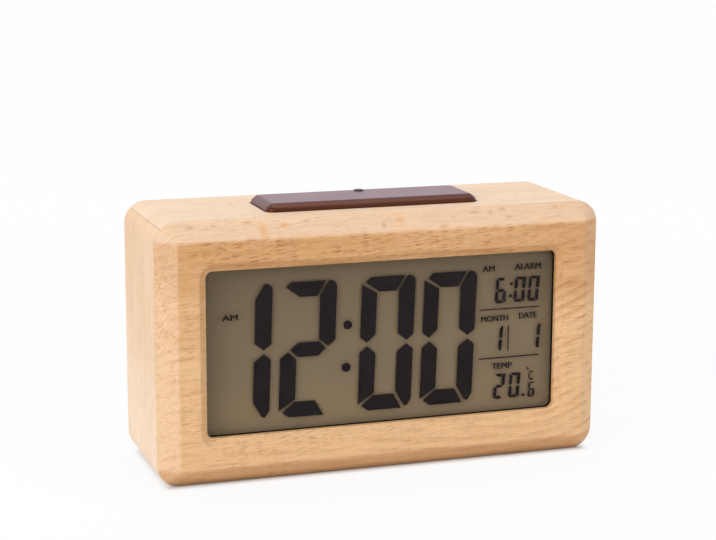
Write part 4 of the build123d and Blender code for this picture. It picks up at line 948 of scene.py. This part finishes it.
springs = {"press": 1.0 * mm, "smooth": 60.0}
barSprings = meshPiece("barSprings", mergedCopy("snooze_springs"), springWire, "case",
                       springs["smooth"])
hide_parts("snooze_springs")
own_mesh(barSprings)
print("moving pieces done")


# Words printed on the back cover beside the keys and knobs, left and right as read from behind

backWords = [
    ("MODE", 31.9, 25.5, 64.6, 66.1),
    ("SET", 11.8, 7.3, 64.6, 66.1),
    ("UP", -8.0, -11.1, 64.6, 66.1),
    ("DOWN", -25.5, -31.9, 64.6, 66.1),
    ("ALARM", 53.8, 45.9, 64.6, 66.1),
    ("OFF", 47.0, 44.0, 54.4, 55.6),
    ("ON", 55.3, 53.0, 54.4, 55.6),
    ("LIGHT", -46.4, -53.3, 64.6, 66.1),
    ("OFF", -53.0, -56.0, 54.4, 55.6),
    ("ON", -44.3, -46.6, 54.4, 55.6),
]
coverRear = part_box("back_cover")[1].y
printShape = wordsShape(backWords, coverRear - lettering["printSink"],
                        lettering["printThickness"], back=True, weight=lettering["printWeight"])
printPale = moulded("printPale", paint(196, 186, 178), 0.6, grain=0.1)
meshPiece("backWords", printShape, printPale, "case", smooth=0)


# Stage: pale floor, white surroundings, soft light that is strongest from the left, and the camera

studio = {
    "floorSize": 6.0,
    "paper": paint(242, 242, 242),
    "paperRoughness": 0.9,
    "nearWhite": 0.88,
    "farWhite": 0.97,
    "whiteRange": (0.08, 0.5),
    "footStart": -5.2 * mm,
    "footEnd": -0.5 * mm,
    "surround": 0.52,
    "aim": (0.0, 0.0, 0.045),
    # name, place, width and depth, and power
    "lamps": [("keyLight", (-1.25, -0.72, 0.62), (0.8, 0.8), 10.8),
              ("topLight", (0.05, 0.05, 1.0), (0.9, 0.5), 4.0),
              ("fillLight", (0.95, -0.95, 0.45), (0.8, 0.8), 2.5)],
}
cameraView = {
    "place": (-0.193734, -0.562911, 0.1817),
    "yaw": 18.82,
    "pitch": -11.57,
    "roll": 0.24,
    "lens": 95.48,
    "sensor": 36.0,
}


def seenDirectly(owner):
    # 1 for rays that show the background to the eye, straight or by way of gloss and clear sheets
    path = addNode(owner, "LightPath").outputs
    direct = maths(owner, "MAXIMUM", path["Is Camera Ray"], path["Is Glossy Ray"])
    return maths(owner, "MAXIMUM", direct, path["Is Transmission Ray"])


def buildFloor():
    paper = newMaterial("floorPaper", studio["paper"], studio["paperRoughness"])
    coords = objectCoords(paper)
    faraway = ramp(paper, lengthOf(paper, coords), *studio["whiteRange"])
    gain = studio["farWhite"] - studio["nearWhite"]
    white = scaled(paper, faraway, gain, studio["nearWhite"])
    # under the case and along its foot the paper shows only its own shade
    across, deep = [maths(paper, "ABSOLUTE", axisOf(paper, coords, axis)) for axis in "XY"]
    outside = maths(paper, "MAXIMUM", maths(paper, "SUBTRACT", across, cadHigh.x),
                    maths(paper, "SUBTRACT", deep, cadHigh.y))
    white = times(paper, white, ramp(paper, outside, studio["footStart"], studio["footEnd"]))
    share = times(paper, seenDirectly(paper), white)
    glow = addNode(paper, "Emission", Color=(1, 1, 1, 1), Strength=1.0).outputs[0]
    tree = paper.node_tree
    own = tree.nodes["Principled BSDF"].outputs[0]
    both = addNode(paper, "MixShader", n0=share, n1=own, n2=glow).outputs[0]
    tree.links.new(both, tree.nodes["Material Output"].inputs["Surface"])
    shape = bmesh.new()
    bmesh.ops.create_grid(shape, x_segments=1, y_segments=1, size=studio["floorSize"] / 2)
    meshPiece("studioFloor", shape, paper, smooth=0)


def buildLight():
    world = bpy.data.worlds.new("studioWorld")
    world.use_nodes = True
    bpy.context.scene.world = world
    level = scaled(world, seenDirectly(world), 1 - studio["surround"], studio["surround"])
    sky = world.node_tree.nodes["Background"]
    plug(world, (1, 1, 1, 1), sky.inputs["Color"])
    plug(world, level, sky.inputs["Strength"])
    for name, place, size, power in studio["lamps"]:
        lamp = bpy.data.lights.new(name, "AREA")
        lamp.shape = "RECTANGLE"
        lamp.size, lamp.size_y = size
        lamp.energy = power
        holder = bpy.data.objects.new(name, lamp)
        bpy.context.scene.collection.objects.link(holder)
        holder.location = place
        toAim = Vector(studio["aim"]) - holder.location
        holder.rotation_euler = toAim.to_track_quat("-Z", "Y").to_euler()


def buildCamera():
    eye = bpy.data.cameras.new("studioCamera")
    eye.lens = cameraView["lens"]
    eye.sensor_width = cameraView["sensor"]
    camera = bpy.data.objects.new("studioCamera", eye)
    bpy.context.scene.collection.objects.link(camera)
    turnRight = Matrix.Rotation(math.radians(-cameraView["yaw"]), 4, "Z")
    tiltUp = Matrix.Rotation(math.radians(90 + cameraView["pitch"]), 4, "X")
    rollOver = Matrix.Rotation(math.radians(cameraView["roll"]), 4, "Z")
    camera.matrix_world = Matrix.Translation(cameraView["place"]) @ turnRight @ tiltUp @ rollOver
    bpy.context.scene.camera = camera


buildFloor()
buildLight()
buildCamera()
bpy.context.scene.view_settings.view_transform = "Standard"
print("stage done")
